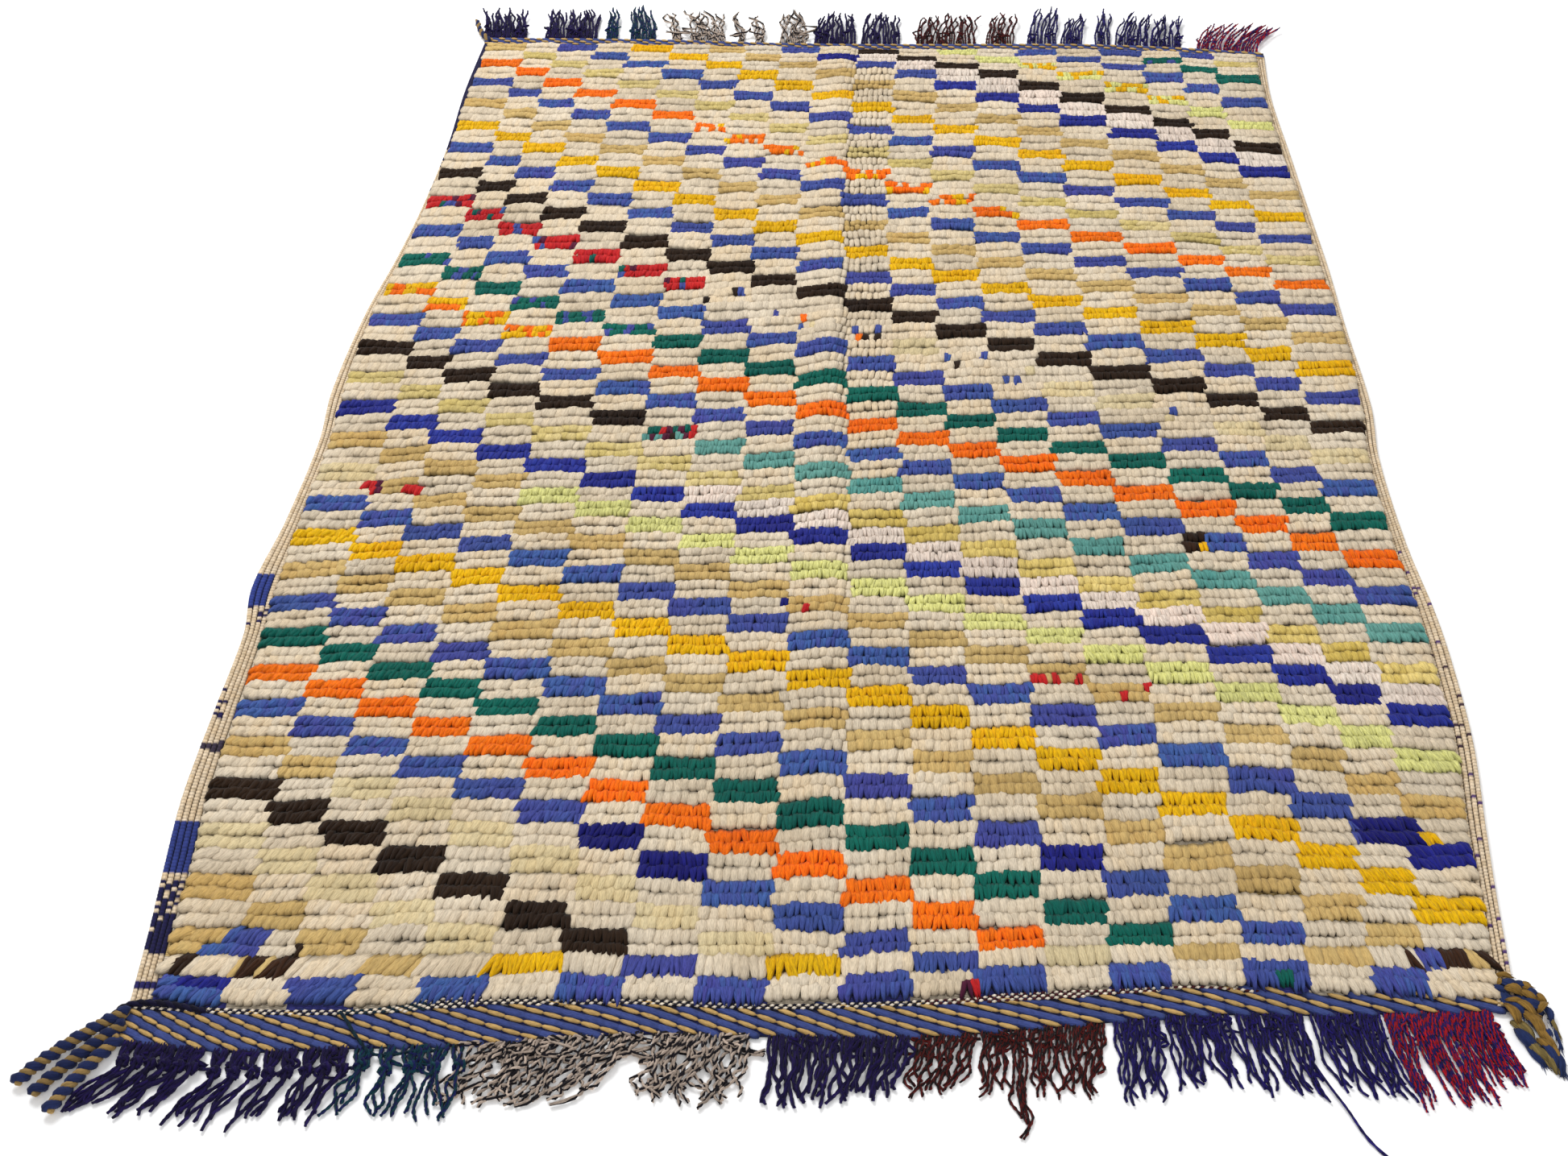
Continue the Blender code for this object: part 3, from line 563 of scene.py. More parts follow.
# Each tail: y of its root, then its middle and its tip
TAIL_ROWS = (
    (-1.1105, -0.806, -1.152, -0.843, -1.205),
    (-1.1285, -0.790, -1.170, -0.820, -1.218),
    (-1.1465, -0.777, -1.186, -0.797, -1.238),
)
TAIL_BLUE = (42, 54, 104)
FAR_TAIL_FORM = (0.0034, 0.0026, 0.022, 6, 1.0)
FAR_TAIL_STEPS = 14
FAR_TAIL = ((-0.712, 1.090, 0.006), (-0.728, 1.106, 0.009), (-0.740, 1.130, 0.010),
            (-0.750, 1.160, 0.012))
CORD_FORM = (0.0030, 0.0014, 0.020, 6, 1.0)
CORD_DYES = ((16, 12, 40), (24, 20, 60))
CORD_STEPS = 26
CORNER_CORD = ((-0.766, -1.118, 0.0050), (-0.756, -1.106, 0.0075), (-0.738, -1.100, 0.0085),
               (-0.712, -1.100, 0.0085), (-0.690, -1.103, 0.0080), (-0.664, -1.107, 0.0060))
THREAD_FORM = (0.0017, 0.0011, 0.012, 4, 1.0)
THREAD_DYES = ((8, 34, 50), (6, 54, 70))
THREAD_STEPS = 30
TEAL_THREAD = ((-0.515, -1.104, 0.0100), (-0.504, -1.117, 0.0104), (-0.494, -1.131, 0.0102),
               (-0.482, -1.144, 0.0090), (-0.472, -1.153, 0.0062), (-0.450, -1.153, 0.0048),
               (-0.424, -1.147, 0.0052), (-0.396, -1.146, 0.0045))
# Tufts: yarn, middle, turn in degrees, length, width and level in millimetres
TUFT_COLUMNS = ("colour", "x", "y", "turn", "long", "wide", "level")
TUFTS = (
    ("tan", 0.744, -1.009, 2, 18, 6, 9),
    ("blue", 0.748, -1.018, -11, 18, 12, 11),
    ("tan", 0.736, -1.016, 57, 12, 7, 10),
    ("blue", 0.736, -1.027, -11, 18, 9, 9),
    ("tan", 0.750, -1.030, -24, 18, 11, 14),
    ("blue", 0.758, -1.021, 2, 13, 10, 12),
    ("tan", 0.764, -1.024, -17, 14, 10, 12),
    ("blue", 0.770, -1.029, -38, 14, 11, 10),
    ("tan", 0.764, -1.036, -38, 19, 8, 15),
    ("tan", 0.778, -1.035, -52, 16, 9, 8),
    ("blue", 0.751, -1.038, -4, 19, 8, 10),
    ("tan", 0.749, -1.043, -13, 19, 6, 12),
    ("blue", 0.751, -1.050, -45, 22, 10, 9),
    ("blue", 0.766, -1.046, -11, 22, 11, 12),
    ("tan", 0.777, -1.049, 49, 17, 8, 12),
    ("blue", 0.781, -1.054, -75, 22, 8, 7),
    ("tan", 0.743, -1.057, -69, 25, 10, 11),
    ("blue", 0.744, -1.036, -60, 34, 16, 5),
    ("blue", 0.766, -1.040, -50, 36, 18, 5),
    ("tan", 0.758, -1.052, -50, 26, 8, 13),
    ("blue", 0.766, -1.062, -62, 30, 12, 7),
    ("olive", 0.752, -1.076, -52, 30, 12, 5),
    ("tan", 0.775, -1.082, -66, 30, 8, 9),
    ("olive", 0.764, -1.098, -60, 34, 10, 6),
    ("blue", 0.772, -1.104, -68, 34, 9, 7),
    ("blue", 0.760, -1.104, -58, 30, 8, 4),
    ("tan", 0.780, -1.100, -74, 26, 6, 7),
    ("tan", 0.762, -1.070, -64, 38, 13, 9),
    ("blue", 0.753, -1.087, -57, 30, 14, 6),
    ("blue", 0.773, -1.080, -75, 18, 11, 7),
    ("tan", 0.771, -1.092, -38, 18, 9, 8),
    ("cream", 0.780, -1.072, -90, 34, 5, 9),
    ("olive", 0.768, -1.110, -64, 36, 8, 5),
    ("blue", 0.778, -1.112, -80, 34, 8, 5),
    ("blue", 0.789, -1.080, -88, 32, 4, 5),
    ("olive", 0.786, -1.068, -80, 24, 4, 6),
)
TUFT_DYES = {
    "blue": (44, 60, 112),
    "tan": (172, 132, 62),
    "olive": (146, 126, 74),
    "cream": (206, 200, 196),
}
TUFT_STEPS = 7
TUFT_DROP = 0.0030
TUFT_TAPER = 0.62
TUFT_BLUNTNESS = 2.4
TUFT_STRANDS = 10
STRAND_TWIST = 0.9
STRAND_SPREAD = 0.33
STRAND_WIDE = 0.42
CORE_WIDE = 0.72
STRAND_FLAT = 0.75
FRAYS = 5
FRAY_SWERVE = 0.30
FRAY_RADIUS = 0.0011

# Camera, as fitted to the corners of the rug
CAMERA_SPOT = (0.0833, -2.3412, 1.8129)
CAMERA_YAW = math.radians(-4.5592)
CAMERA_PITCH = math.radians(42.763)
CAMERA_ROLL = math.radians(-2.0)
CAMERA_LENS = 45.76
SENSOR_WIDTH = 36.0

# Floor and lights: place, size and power of each light
FLOOR_HALF = 30.0
FLOOR_LEVEL = -0.0004
FLOOR_SHADE = 0.92
SURROUND = 0.62
LIGHTS = (("key", (-1.6, 1.8, 3.6), 2.2, 150.0), ("front", (0.8, -3.4, 3.4), 2.4, 60.0))


# Small helpers

def mix(low, high, part):
    return low + (high - low) * part


def linear(colour):
    """Turn an sRGB colour of 0 to 255 into linear red, green and blue."""
    share = np.asarray(colour, float) / 255.0
    return np.where(share <= 0.04045, share / 12.92, ((share + 0.055) / 1.055) ** 2.4)


def paint(colour):
    return (*linear(colour), 1.0)


def share_of(value, start, stop):
    """0 at start, 1 at stop, and a straight line between them."""
    return np.clip((value - start) / (stop - start), 0, 1)


def round_section(sides, first=0.0):
    """Outline of a round tube, whose first corner is turned by an angle."""
    turns = np.linspace(0, 2 * math.pi, sides, endpoint=False) + first
    return tuple(zip(np.cos(turns), np.sin(turns)))


def read_table(columns, rows):
    return {name: np.array([row[place] for row in rows]) for place, name in enumerate(columns)}


def smooth_line(places, values, at):
    """Read a column of a table at places between its rows, on a smooth line through them."""
    if places[0] > places[-1]:
        places = places[::-1]
        values = values[::-1]
    slopes = np.empty(len(values))
    slopes[1:-1] = (values[2:] - values[:-2]) / (places[2:] - places[:-2])
    slopes[0] = (values[1] - values[0]) / (places[1] - places[0])
    slopes[-1] = (values[-1] - values[-2]) / (places[-1] - places[-2])
    at = np.clip(at, places[0], places[-1])
    step = np.clip(np.searchsorted(places, at) - 1, 0, len(places) - 2)
    span = places[step + 1] - places[step]
    t = (at - places[step]) / span
    rise = values[step + 1] - values[step]
    cubic = (slopes[step] + slopes[step + 1]) * span - 2 * rise
    square = 3 * rise - (2 * slopes[step] + slopes[step + 1]) * span
    return values[step] + slopes[step] * span * t + square * t ** 2 + cubic * t ** 3


SIDES = read_table(SIDE_COLUMNS, SIDE_ROWS)
ENDS = read_table(END_COLUMNS, END_ROWS)
FOLDS = read_table(FOLD_COLUMNS, FOLD_ROWS)
ROWS = np.array(ROW_LINES).T
DRIFTS = np.array(DRIFT_ROWS).T


def side_x(name, y):
    return smooth_line(SIDES["y"], SIDES[name], y)


def end_y(name, x):
    return smooth_line(ENDS["x"], ENDS[name], x)


def field(x, y, pitch, layer):
    """Smooth noise between -1 and 1 over the floor, for arrays of places."""
    flat = zip(np.ravel(x) / pitch, np.ravel(y) / pitch)
    values = [noise.noise(Vector((across, along, layer))) for across, along in flat]
    return np.array(values).reshape(np.shape(x))


# The cloth's own grid, from checks to places on the floor

def across_table(places, table, across, row):
    """Read a table whose first line is rows of checks and whose others are places across."""
    places = np.array(places)
    lines = np.array([smooth_line(table[0], line, row) for line in table[1:]])
    step = np.clip(np.searchsorted(places, across) - 1, 0, len(places) - 2)
    part = (np.clip(across, -1, 1) - places[step]) / (places[step + 1] - places[step])
    low = np.take_along_axis(lines, step[None], axis=0)[0]
    high = np.take_along_axis(lines, step[None] + 1, axis=0)[0]
    return mix(low, high, part)


def row_line(across, row):
    """How far along the rug a row of checks lies, before the ends' own outlines pull it."""
    return across_table(ROW_PLACES, ROWS, across, row)


def cloth_point(across, row):
    """Place on the floor of a point across the rug (-1 to 1, 0 on the crease) and along it."""
    line = row_line(across, row)
    drift = MILLIMETRE * across_table(DRIFT_PLACES, DRIFTS, across, row)
    far_gap = row_line(across, np.full_like(across, FIRST_ROW_EDGE))
    near_gap = row_line(across, np.full_like(across, LAST_ROW_EDGE))
    far_pull = share_of(row, FIRST_ROW_EDGE + END_ROWS_DRAWN_IN, FIRST_ROW_EDGE)
    near_pull = share_of(row, LAST_ROW_EDGE - END_ROWS_DRAWN_IN, LAST_ROW_EDGE)
    y = line
    for _ in range(4):
        crease = smooth_line(FOLDS["y"], FOLDS["crease"], y)
        side = np.where(across < 0, side_x("pile_left", y), side_x("pile_right", y))
        x = mix(crease, side, np.abs(across)) + drift
        y = line + (end_y("pile_far", x) - far_gap) * far_pull
        y = y + (end_y("pile_near", x) - near_gap) * near_pull
    return x, y


def fold_height(x, y):
    """Height that the ridge adds, and the valley takes away, beside the crease."""
    away = x - smooth_line(FOLDS["y"], FOLDS["crease"], y)
    ridge = smooth_line(FOLDS["y"], FOLDS["ridge"], y)
    rise = 0.5 * (1 - np.cos(math.pi * (away + FOLD_REACH) / (FOLD_REACH - FOLD_CREST)))
    drop = mix(1.0, -FOLD_VALLEY, ((away + FOLD_CREST) / FOLD_CREST) ** 2)
    climb = -FOLD_VALLEY * (1 - away / FOLD_RIGHT)
    inside = (away > -FOLD_REACH) & (away < FOLD_RIGHT)
    shape = np.where(away < -FOLD_CREST, rise, np.where(away < 0, drop, climb))
    return np.where(inside, ridge * shape, 0.0)


def pile_height(x, y):
    return PILE_TOP + PILE_LUMP * field(x, y, LUMP_PITCH, LUMP_LAYER) + fold_height(x, y)


def ground_height(x, y):
    """Height of the underside of the ground weave, which only the fold lifts."""
    return np.maximum(0.0, GROUND_RISE * fold_height(x, y))


# Meshes

def run_along(lines):
    """Length of each line of points up to each of them."""
    steps = np.linalg.norm(np.diff(lines, axis=1), axis=2)
    return np.concatenate([np.zeros((len(lines), 1)), np.cumsum(steps, axis=1)], axis=1)


def store(mesh, name, kind, values):
    """Keep an array on the mesh's vertices for its material to read."""
    attribute = mesh.attributes.new(name, kind, "POINT")
    part = "color" if kind == "FLOAT_COLOR" else "vector"
    attribute.data.foreach_set(part, np.ascontiguousarray(values, np.float32).ravel())


def mesh_of_copies(name, points, faces):
    """Mesh of many copies of one form. points is a (copy, vertex, xyz) array."""
    copies, count = points.shape[:2]
    corners = np.concatenate([np.array(face) for face in faces])
    sizes = np.array([len(face) for face in faces])
    shift = np.arange(copies)[:, None] * count
    mesh = bpy.data.meshes.new(name)
    mesh.vertices.add(copies * count)
    mesh.vertices.foreach_set("co", points.astype(np.float32).ravel())
    loops = (corners[None, :] + shift).ravel()
    mesh.loops.add(len(loops))
    mesh.loops.foreach_set("vertex_index", loops.astype(np.int32))
    totals = np.tile(sizes, copies)
    starts = np.concatenate([[0], np.cumsum(totals)[:-1]])
    mesh.polygons.add(len(totals))
    mesh.polygons.foreach_set("loop_start", starts.astype(np.int32))
    mesh.update(calc_edges=True)
    mesh.shade_smooth()
    return mesh


def tube_faces(rings, sides, pointed):
    """Faces of one closed tube of rings, with a flat or a pointed far end."""
    faces = [tuple(range(sides))[::-1]]
    for ring in range(rings - 1):
        for side in range(sides):
            after = (side + 1) % sides
            here = ring * sides
            there = here + sides
            faces.append((here + side, here + after, there + after, there + side))
    last = (rings - 1) * sides
    if pointed:
        tip = rings * sides
        faces += [(last + side, last + (side + 1) % sides, tip) for side in range(sides)]
    else:
        faces.append(tuple(range(last, last + sides)))
    return faces


def tubes(name, spine, side, up, section, depth, tone, dye=None, pointed=False):
    """Many closed tubes in one mesh.

    spine, side and up are (tube, ring, xyz) arrays: the middle line and half the width and the
    height there. section is the outline as (across, up) pairs, counter-clockwise seen from the
    start. depth is (tube, ring): painted shade, 0 in the dark of the pile and 1 on top. tone is a
    shade per tube.
    """
    outline = np.array(section)
    copies, rings = spine.shape[:2]
    sides = len(outline)
    across = outline[None, None, :, :1]
    above = outline[None, None, :, 1:]
    points = spine[:, :, None] + side[:, :, None] * across + up[:, :, None] * above
    girth = np.concatenate([[0], np.cumsum(np.linalg.norm(np.diff(outline, axis=0), axis=1))])
    width = np.linalg.norm(side, axis=2).max(axis=1)[:, None, None] / MILLIMETRE
    run = run_along(spine)
    seed = (np.arange(copies) * 7.77 % 500)[:, None, None]
    full = (copies, rings, sides)
    fibre = np.stack([
        np.broadcast_to(girth[None, None] * width, full),
        np.broadcast_to(run[:, :, None] / MILLIMETRE, full),
        np.broadcast_to(seed, full),
    ], axis=3)
    # Painted shade across each tube: darker towards the low side of its outline, its underside
    # where up points up
    low, high = outline[:, 1].min(), outline[:, 1].max()
    lift = (outline[:, 1] - low) / (high - low)
    # First part of wool: painted shade, depth times that side shade; second part: each tube's tone
    wool = np.stack([
        depth[:, :, None] * mix(0.25, 1.0, lift)[None, None],
        np.broadcast_to(tone[:, None, None], full),
        np.zeros(full),
    ], axis=3)
    layers = {"fibre": fibre, "wool": wool}
    if dye is not None:
        tinted = np.broadcast_to(dye if dye.ndim == 3 else dye[:, None], (copies, rings, 3))
        layers["dye"] = np.broadcast_to(tinted[:, :, None], (*full, 3))
    body = rings - 1 if pointed else rings
    flat = points[:, :body].reshape(copies, body * sides, 3)
    if pointed:
        flat = np.concatenate([flat, spine[:, -1:] + up[:, -1:]], axis=1)
    mesh = mesh_of_copies(name, flat, tube_faces(body, sides, pointed))
    for layer, values in layers.items():
        kept = values[:, :body].reshape(copies, body * sides, 3)
        if pointed:
            kept = np.concatenate([kept, values[:, -1:, sides // 2]], axis=1)
        if layer == "dye":
            ones = np.ones((*kept.shape[:2], 1))
            store(mesh, layer, "FLOAT_COLOR", np.concatenate([kept, ones], axis=2))
        else:
            store(mesh, layer, "FLOAT_VECTOR", kept)
    return mesh


def add_piece(name, mesh, material, slot, *nodes):
    """Show a mesh as a piece of the rug that stands for CAD nodes."""
    mesh.materials.append(material)
    piece = bpy.data.objects.new(name, mesh)
    bpy.context.scene.collection.objects.link(piece)
    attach(piece, BODY)
    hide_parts(*nodes)
    return piece


def floor_side(along):
    """Sideways unit vectors, level with the floor, for directions along a line."""
    side = np.cross(UP, along)
    return side / np.maximum(np.linalg.norm(side, axis=-1, keepdims=True), 1e-9)


def directions(spine):
    """Unit vectors along lines of points."""
    along = np.gradient(spine, axis=-2)
    return along / np.maximum(np.linalg.norm(along, axis=-1, keepdims=True), 1e-9)


def beside_and_above(spine):
    """Unit vectors sideways from lines of points and up from them."""
    along = directions(spine)
    side = floor_side(along)
    return side, np.cross(along, side)


# Materials

class Graph:
    """Adds nodes to a material and joins them up."""

    def __init__(self, name, roughness, sheen):
        self.material = bpy.data.materials.new(name)
        self.material.use_nodes = True
        self.nodes = self.material.node_tree.nodes
        self.links = self.material.node_tree.links
        self.shader = self.nodes["Principled BSDF"]
        self.shader.inputs["Roughness"].default_value = roughness
        self.shader.inputs["Sheen Weight"].default_value = sheen
        self.shader.inputs["Sheen Roughness"].default_value = 0.5
        self.shader.inputs["Specular IOR Level"].default_value = 0.15

    def set(self, socket, value):
        if isinstance(value, bpy.types.NodeSocket):
            self.links.new(value, socket)
        else:
            socket.default_value = value

    def add(self, kind, settings=(), **inputs):
        node = self.nodes.new("ShaderNode" + kind)
        for key, value in dict(settings).items():
            setattr(node, key, value)
        for key, value in inputs.items():
            place = int(key[1:]) if key[0] == "i" and key[1:].isdigit() else key.replace("_", " ")
            self.set(node.inputs[place], value)
        return node

    def attribute(self, name, output):
        return self.add("Attribute", {"attribute_name": name}).outputs[output]

    def ramp(self, value, low, high, start, stop):
        """Carry a value from one range to another, held at its ends."""
        node = self.add("MapRange", Value=value, From_Min=low, From_Max=high, To_Min=start,
                        To_Max=stop)
        return node.outputs["Result"]

    def times(self, first, second):
        return self.add("Math", {"operation": "MULTIPLY"}, i0=first, i1=second).outputs[0]

    def blend(self, first, second, part):
        node = self.add("Mix", {"data_type": "RGBA"})
        self.set(node.inputs[0], part)
        self.set(node.inputs[6], first)
        self.set(node.inputs[7], second)
        return node.outputs[2]

    def noise(self, vector, scale, detail=2.0):
        return self.add("TexNoise", Vector=vector, Scale=scale, Detail=detail).outputs[0]

    def finish(self, main, hue, value, height, strength, distance):
        """Join the colour and the relief to the shader."""
        base = self.add("VectorMath", {"operation": "SCALE"}, i0=hue, Scale=value)
        self.shader.inputs["Base Color"].default_value = main
        self.links.new(base.outputs[0], self.shader.inputs["Base Color"])
        bump = self.add("Bump", Strength=strength, Distance=distance, Height=height)
        self.links.new(bump.outputs[0], self.shader.inputs["Normal"])
        return self.material


def wool_material(name, colour, second=None, dyed=False, shade=0.22, streaks=(0.80, 0.13),
                  silk=0.0, tones=(0.88, 1.10), relief=0.8):
    """Wool whose fibres run along each lock or yarn, with painted shade that darkens it down in the
    pile.
    """
    graph = Graph(name, 0.95 - 0.30 * silk, 0.05)
    fibre = graph.attribute("fibre", "Vector")
    wool = graph.add("SeparateXYZ", Vector=graph.attribute("wool", "Vector"))
    grain = graph.add("VectorMath", {"operation": "MULTIPLY"}, i0=fibre, i1=(*streaks, 1.0))
    streak = graph.noise(grain.outputs[0], 1.0)
    places = graph.add("TexCoord").outputs["Object"]
    patch = graph.noise(places, 7.0, 3.0)
    main = paint(colour)
    if dyed:
        hue = graph.attribute("dye", "Color")
    else:
        part = graph.ramp(patch, 0.35, 0.68, 0.0, 0.75)
        part = graph.add("Math", {"operation": "ADD", "use_clamp": True}, i0=part,
                         i1=graph.ramp(wool.outputs[1], 0.55, 1.0, 0.0, 0.8)).outputs[0]
        hue = graph.blend(main, paint(second), part)
    # Painted shade: the first part of wool darkens the colour as far as shade
    dark = graph.ramp(wool.outputs[0], 0.0, 0.85, shade, 1.0)
    tone = graph.ramp(wool.outputs[1], 0.0, 1.0, *tones)
    line = graph.ramp(streak, 0.32, 0.62, mix(0.76, 0.56, silk), 1.08)
    value = graph.times(graph.times(dark, tone), line)
    return graph.finish(main, hue, value, streak, relief, 0.0012)


def weave_material():
    """Ground weave seen from below: fine ribs over the checks' own colours."""
    graph = Graph("ground_weave", 0.95, 0.1)
    places = graph.add("TexCoord").outputs["Object"]
    ribs = graph.add("TexWave", {"bands_direction": "Y"}, Vector=places, Scale=110.0,
                     Distortion=1.2)
    knots = graph.add("TexWave", {"bands_direction": "X"}, Vector=places, Scale=36.0)
    weave = graph.times(ribs.outputs[1], knots.outputs[1])
    value = graph.ramp(weave, 0.0, 0.6, 0.55, 0.95)
    hue = graph.attribute("dye", "Color")
    return graph.finish(paint(YARNS["cream"][0]), hue, value, weave, 0.6, 0.001)


# Pile

def yarn_of(column, row):
    """Name of the yarn of a check, from the chart of diagonals."""
    place = row - column + DIAGONAL_START
    diagonal = place / 2
    if place % 2:
        start = PINK_HALVES.get(diagonal)
        return "pink" if start and column >= start else "cream"
    for first, last, key in DIAGONALS[int(diagonal)]:
        if first <= column <= last:
            return key
    return "cream"


def knot_rows(row):
    return (row,) if row == SHALLOW_ROW else (row - LINE_STEP, row + LINE_STEP)


def far_share(row):
    """0 in the near rows and 1 in the far ones, where plain wool is matted and swells most."""
    return share_of(row, BULGE_END, BULGE_START)


def open_share(across, row):
    """1 beside the crease, where the pile parts into single knots, and 0 elsewhere."""
    beside = share_of(across, *OPEN_FROM) * share_of(across, *OPEN_TO)
    return beside * share_of(row, *OPEN_FADE)


def bulge_of(key, row, part):
    """How much of its row a check takes: plain wool swells into the rows of dyed wool."""
    swell = mix(BULGE_NEAR, BULGE_FAR, far_share(row)) * (1 - (2 * part - 1) ** 2 * BULGE_ROUND)
    if key in PLAIN_KEYS:
        return 1 + swell
    return 1 - swell


def list_knots():
    """Every knot's place across, place along in rows, width, depth and shade, and its yarn."""
    draw = np.random.default_rng(59)
    across, along, wide, deep, checks, yarns = [], [], [], [], [], []
    edge_waver = draw.uniform(-1, 1, (CHECK_ROWS + 1, 2, CHECK_COLUMNS + 1)) * EDGE_WAVER
    edge_waver[:, :, (0, -1)] = 0
    check_waver = draw.uniform(-1, 1, (CHECK_ROWS + 1, CHECK_COLUMNS + 1)) * CHECK_WAVER
    for row in range(1, CHECK_ROWS + 1):
        for column in range(1, CHECK_COLUMNS + 1):
            key = yarn_of(column, row)
            for place, line in enumerate(knot_rows(row)):
                left = CHECK_EDGES[column - 1] + edge_waver[row, place, column - 1]
                right = CHECK_EDGES[column] + edge_waver[row, place, column]
                for knot in range(KNOTS_IN_CHECK):
                    part = (knot + 0.5) / KNOTS_IN_CHECK
                    bulge = bulge_of(key, row, part)
                    across.append(mix(left, right, part))
                    along.append(row + (line - row) * bulge + check_waver[row, column])
                    wide.append((right - left) / KNOTS_IN_CHECK)
                    deep.append(bulge)
                    checks.append((row, column))
                    yarns.append(key)
    yarns = np.array(yarns, dtype="U8")
    for key, shares in MIXES.items():
        mixed = yarns == key
        names, weights = zip(*shares)
        weights = np.array(weights) / sum(weights)
        yarns[mixed] = draw.choice(names, mixed.sum(), p=weights)
    across, along, wide, deep = map(np.array, (across, along, wide, deep))
    x, y = cloth_point(across, along)
    for middle_x, middle_y, half_x, half_y, key in SPOTS:
        inside = (np.abs(x - middle_x) < half_x) & (np.abs(y - middle_y) < half_y)
        yarns[inside] = key
    shades = draw.uniform(0, 1, (CHECK_ROWS + 1, CHECK_COLUMNS + 1))
    shade = shades[tuple(np.array(checks).T)]
    return np.stack([across, along, wide, deep, shade]), yarns


def lean_of(across, along, x, y):
    """Angle at which the pile leans off the rug's length: it fans out towards the sides."""
    share = mix(LEAN_FAR, 1.0, (along / CHECK_ROWS) ** LEAN_CURVE)
    fan = np.where(across < 0, LEAN_LEFT, LEAN_RIGHT) * across * share
    return fan + LEAN_NOISE * field(x, y, LEAN_PITCH, LEAN_LAYER) * share


def build_locks(name, knots, yarn):
    """Locks of one yarn: a rounded lock for each knot, or two slimmer and more pointed ones."""
    draw = np.random.default_rng(knots.shape[1])
    count = yarn["locks"]
    across, along, wide, deep, shade = np.repeat(knots, count, axis=1)
    total = len(across)
    wave = ROW_WAVE * field(across, along * WAVE_STRETCH, WAVE_PITCH, WAVE_LAYER)
    jitter = draw.uniform(-1, 1, (6, total))
    offset = (np.arange(total) % count - (count - 1) / 2) / count
    across_at = np.clip(across + wide * (offset + SIDE_JITTER * jitter[0]), -1, 1)
    clear = share_of(cloth_point(across, along)[0], DOTS_END, DOTS_END - DOTS_FADE)
    last = share_of(along, *LAST_ROWS) * mix(RIGHT_SHARE, 1.0, clear)
    spread = mix(*ALONG_JITTER, far_share(along) * (count > 1))
    along_at = along + wave * (1 - last) + spread * jitter[1] - LAST_LINES_IN * last
    x, y = cloth_point(across_at, along_at)
    x = x + LEFT_RIM_IN * share_of(-across, RIM_START, 1) * share_of(along, *LEFT_RIM_ROWS)
    half = wide / 2
    x_left, y_left = cloth_point(across - half, along)
    x_right, y_right = cloth_point(across + half, along)
    pitch = np.hypot(x_right - x_left, y_right - y_left)
    step = np.where(np.abs(along - SHALLOW_ROW) < 0.1, 2 * LINE_STEP, LINE_STEP)
    far_y = cloth_point(across, along - step)[1]
    near_y = cloth_point(across, along + step)[1]
    length = (far_y - near_y) * deep
    shag = share_of(y, SHAG_START, SHAG_FULL)
    shag = np.maximum(shag, SIDE_SHAG * share_of(np.abs(across), SIDE_SHAG_START, 1))
    opened = open_share(across, along) * (count == 1)
    matted = far_share(along) * (1 - opened) * (1.0 if count == 1 else DYED_MATTED)
    swollen = mix(WIDE_LOCK + WIDER_FAR * matted, OPEN_LOCK, opened)
    swollen += WIDTH_JITTER * (1 - 0.5 * opened) * jitter[2]
    width = 0.5 * pitch * LOCK_SLIMNESS[count - 1] * swollen
    lean = lean_of(across, along, x, y)
    lean += (LEAN_JITTER + DYED_LEAN_JITTER * (count - 1)) * jitter[3]
    rim = share_of(np.abs(across), RIM_START, 1)
    lean += np.sign(across) * RIM_LEAN * rim
    reach = yarn["reach"] * (1 + REACH_JITTER * jitter[4] * count + SHAG_REACH * shag)
    reach = mix(reach, np.minimum(reach, RIM_REACH), np.clip(2 * rim, 0, 1))
    reach = reach * (1 - LAST_LINE_SHORT * last) * (1 - OPEN_SHORT * opened)
    top = pile_height(x, y) * (1.0 + mix(*TOP_JITTER, matted) * jitter[5])
    base = ground_height(x, y) + GROUND_TOP
    forward = np.stack([np.sin(lean), -np.cos(lean), np.zeros(total)], axis=1)
    side = np.cross(UP, forward)
    start = np.stack([x, y, base], axis=1)
    sharp = np.clip(0.5 * (count - 1) + 0.5 * shag, 0, 1)
    run = LOCK_PLACES * (1 + (reach[:, None] - 1) * TIP_PARTS)
    run[:, -1] += LONG_TIPS * sharp
    spine = start[:, None] + forward[:, None] * (run * length[:, None])[:, :, None]
    taper = LOCK_WIDTHS * (1 - NARROW_TIPS[count - 1] * sharp[:, None] * TIP_PARTS)
    tall = LOCK_HEIGHTS * (1 - LOW_TIPS * sharp[:, None] * TIP_PARTS)
    sides = side[:, None] * (taper * width[:, None])[:, :, None]
    ups = UP * (tall * (top - base)[:, None])[:, :, None]
    # Painted shade along each lock, darkest at its root and darker again at its tip
    depth = np.tile(LOCK_PAINTED_SHADE, (total, 1))
    tone = mix(draw.uniform(0, 1, total), shade, SHADE_SHARE)
    section = LOCK_SECTIONS[count - 1]
    return tubes(name, spine, sides, ups, section, depth, tone, pointed=True)


def build_pile():
    """All the locks, in pieces of one yarn each."""
    knots, yarns = list_knots()
    pieces = []
    for key, row in YARNS.items():
        yarn = dict(zip(YARN_COLUMNS, row))
        own = np.flatnonzero(yarns == key)
        material = wool_material("wool_" + key, yarn["colour"], yarn["second"],
                                 silk=yarn["silk"], tones=PILE_TONES)
        parts = math.ceil(len(own) * yarn["locks"] / MOST_LOCKS)
        for place, chosen in enumerate(np.array_split(own, parts)):
            name = f"pile_{key}_{place + 1}" if parts > 1 else f"pile_{key}"
            mesh = build_locks(name, knots[:, chosen], yarn)
            pieces.append(add_piece(name, mesh, material, "pile_wool", "pile_field"))
    return pieces


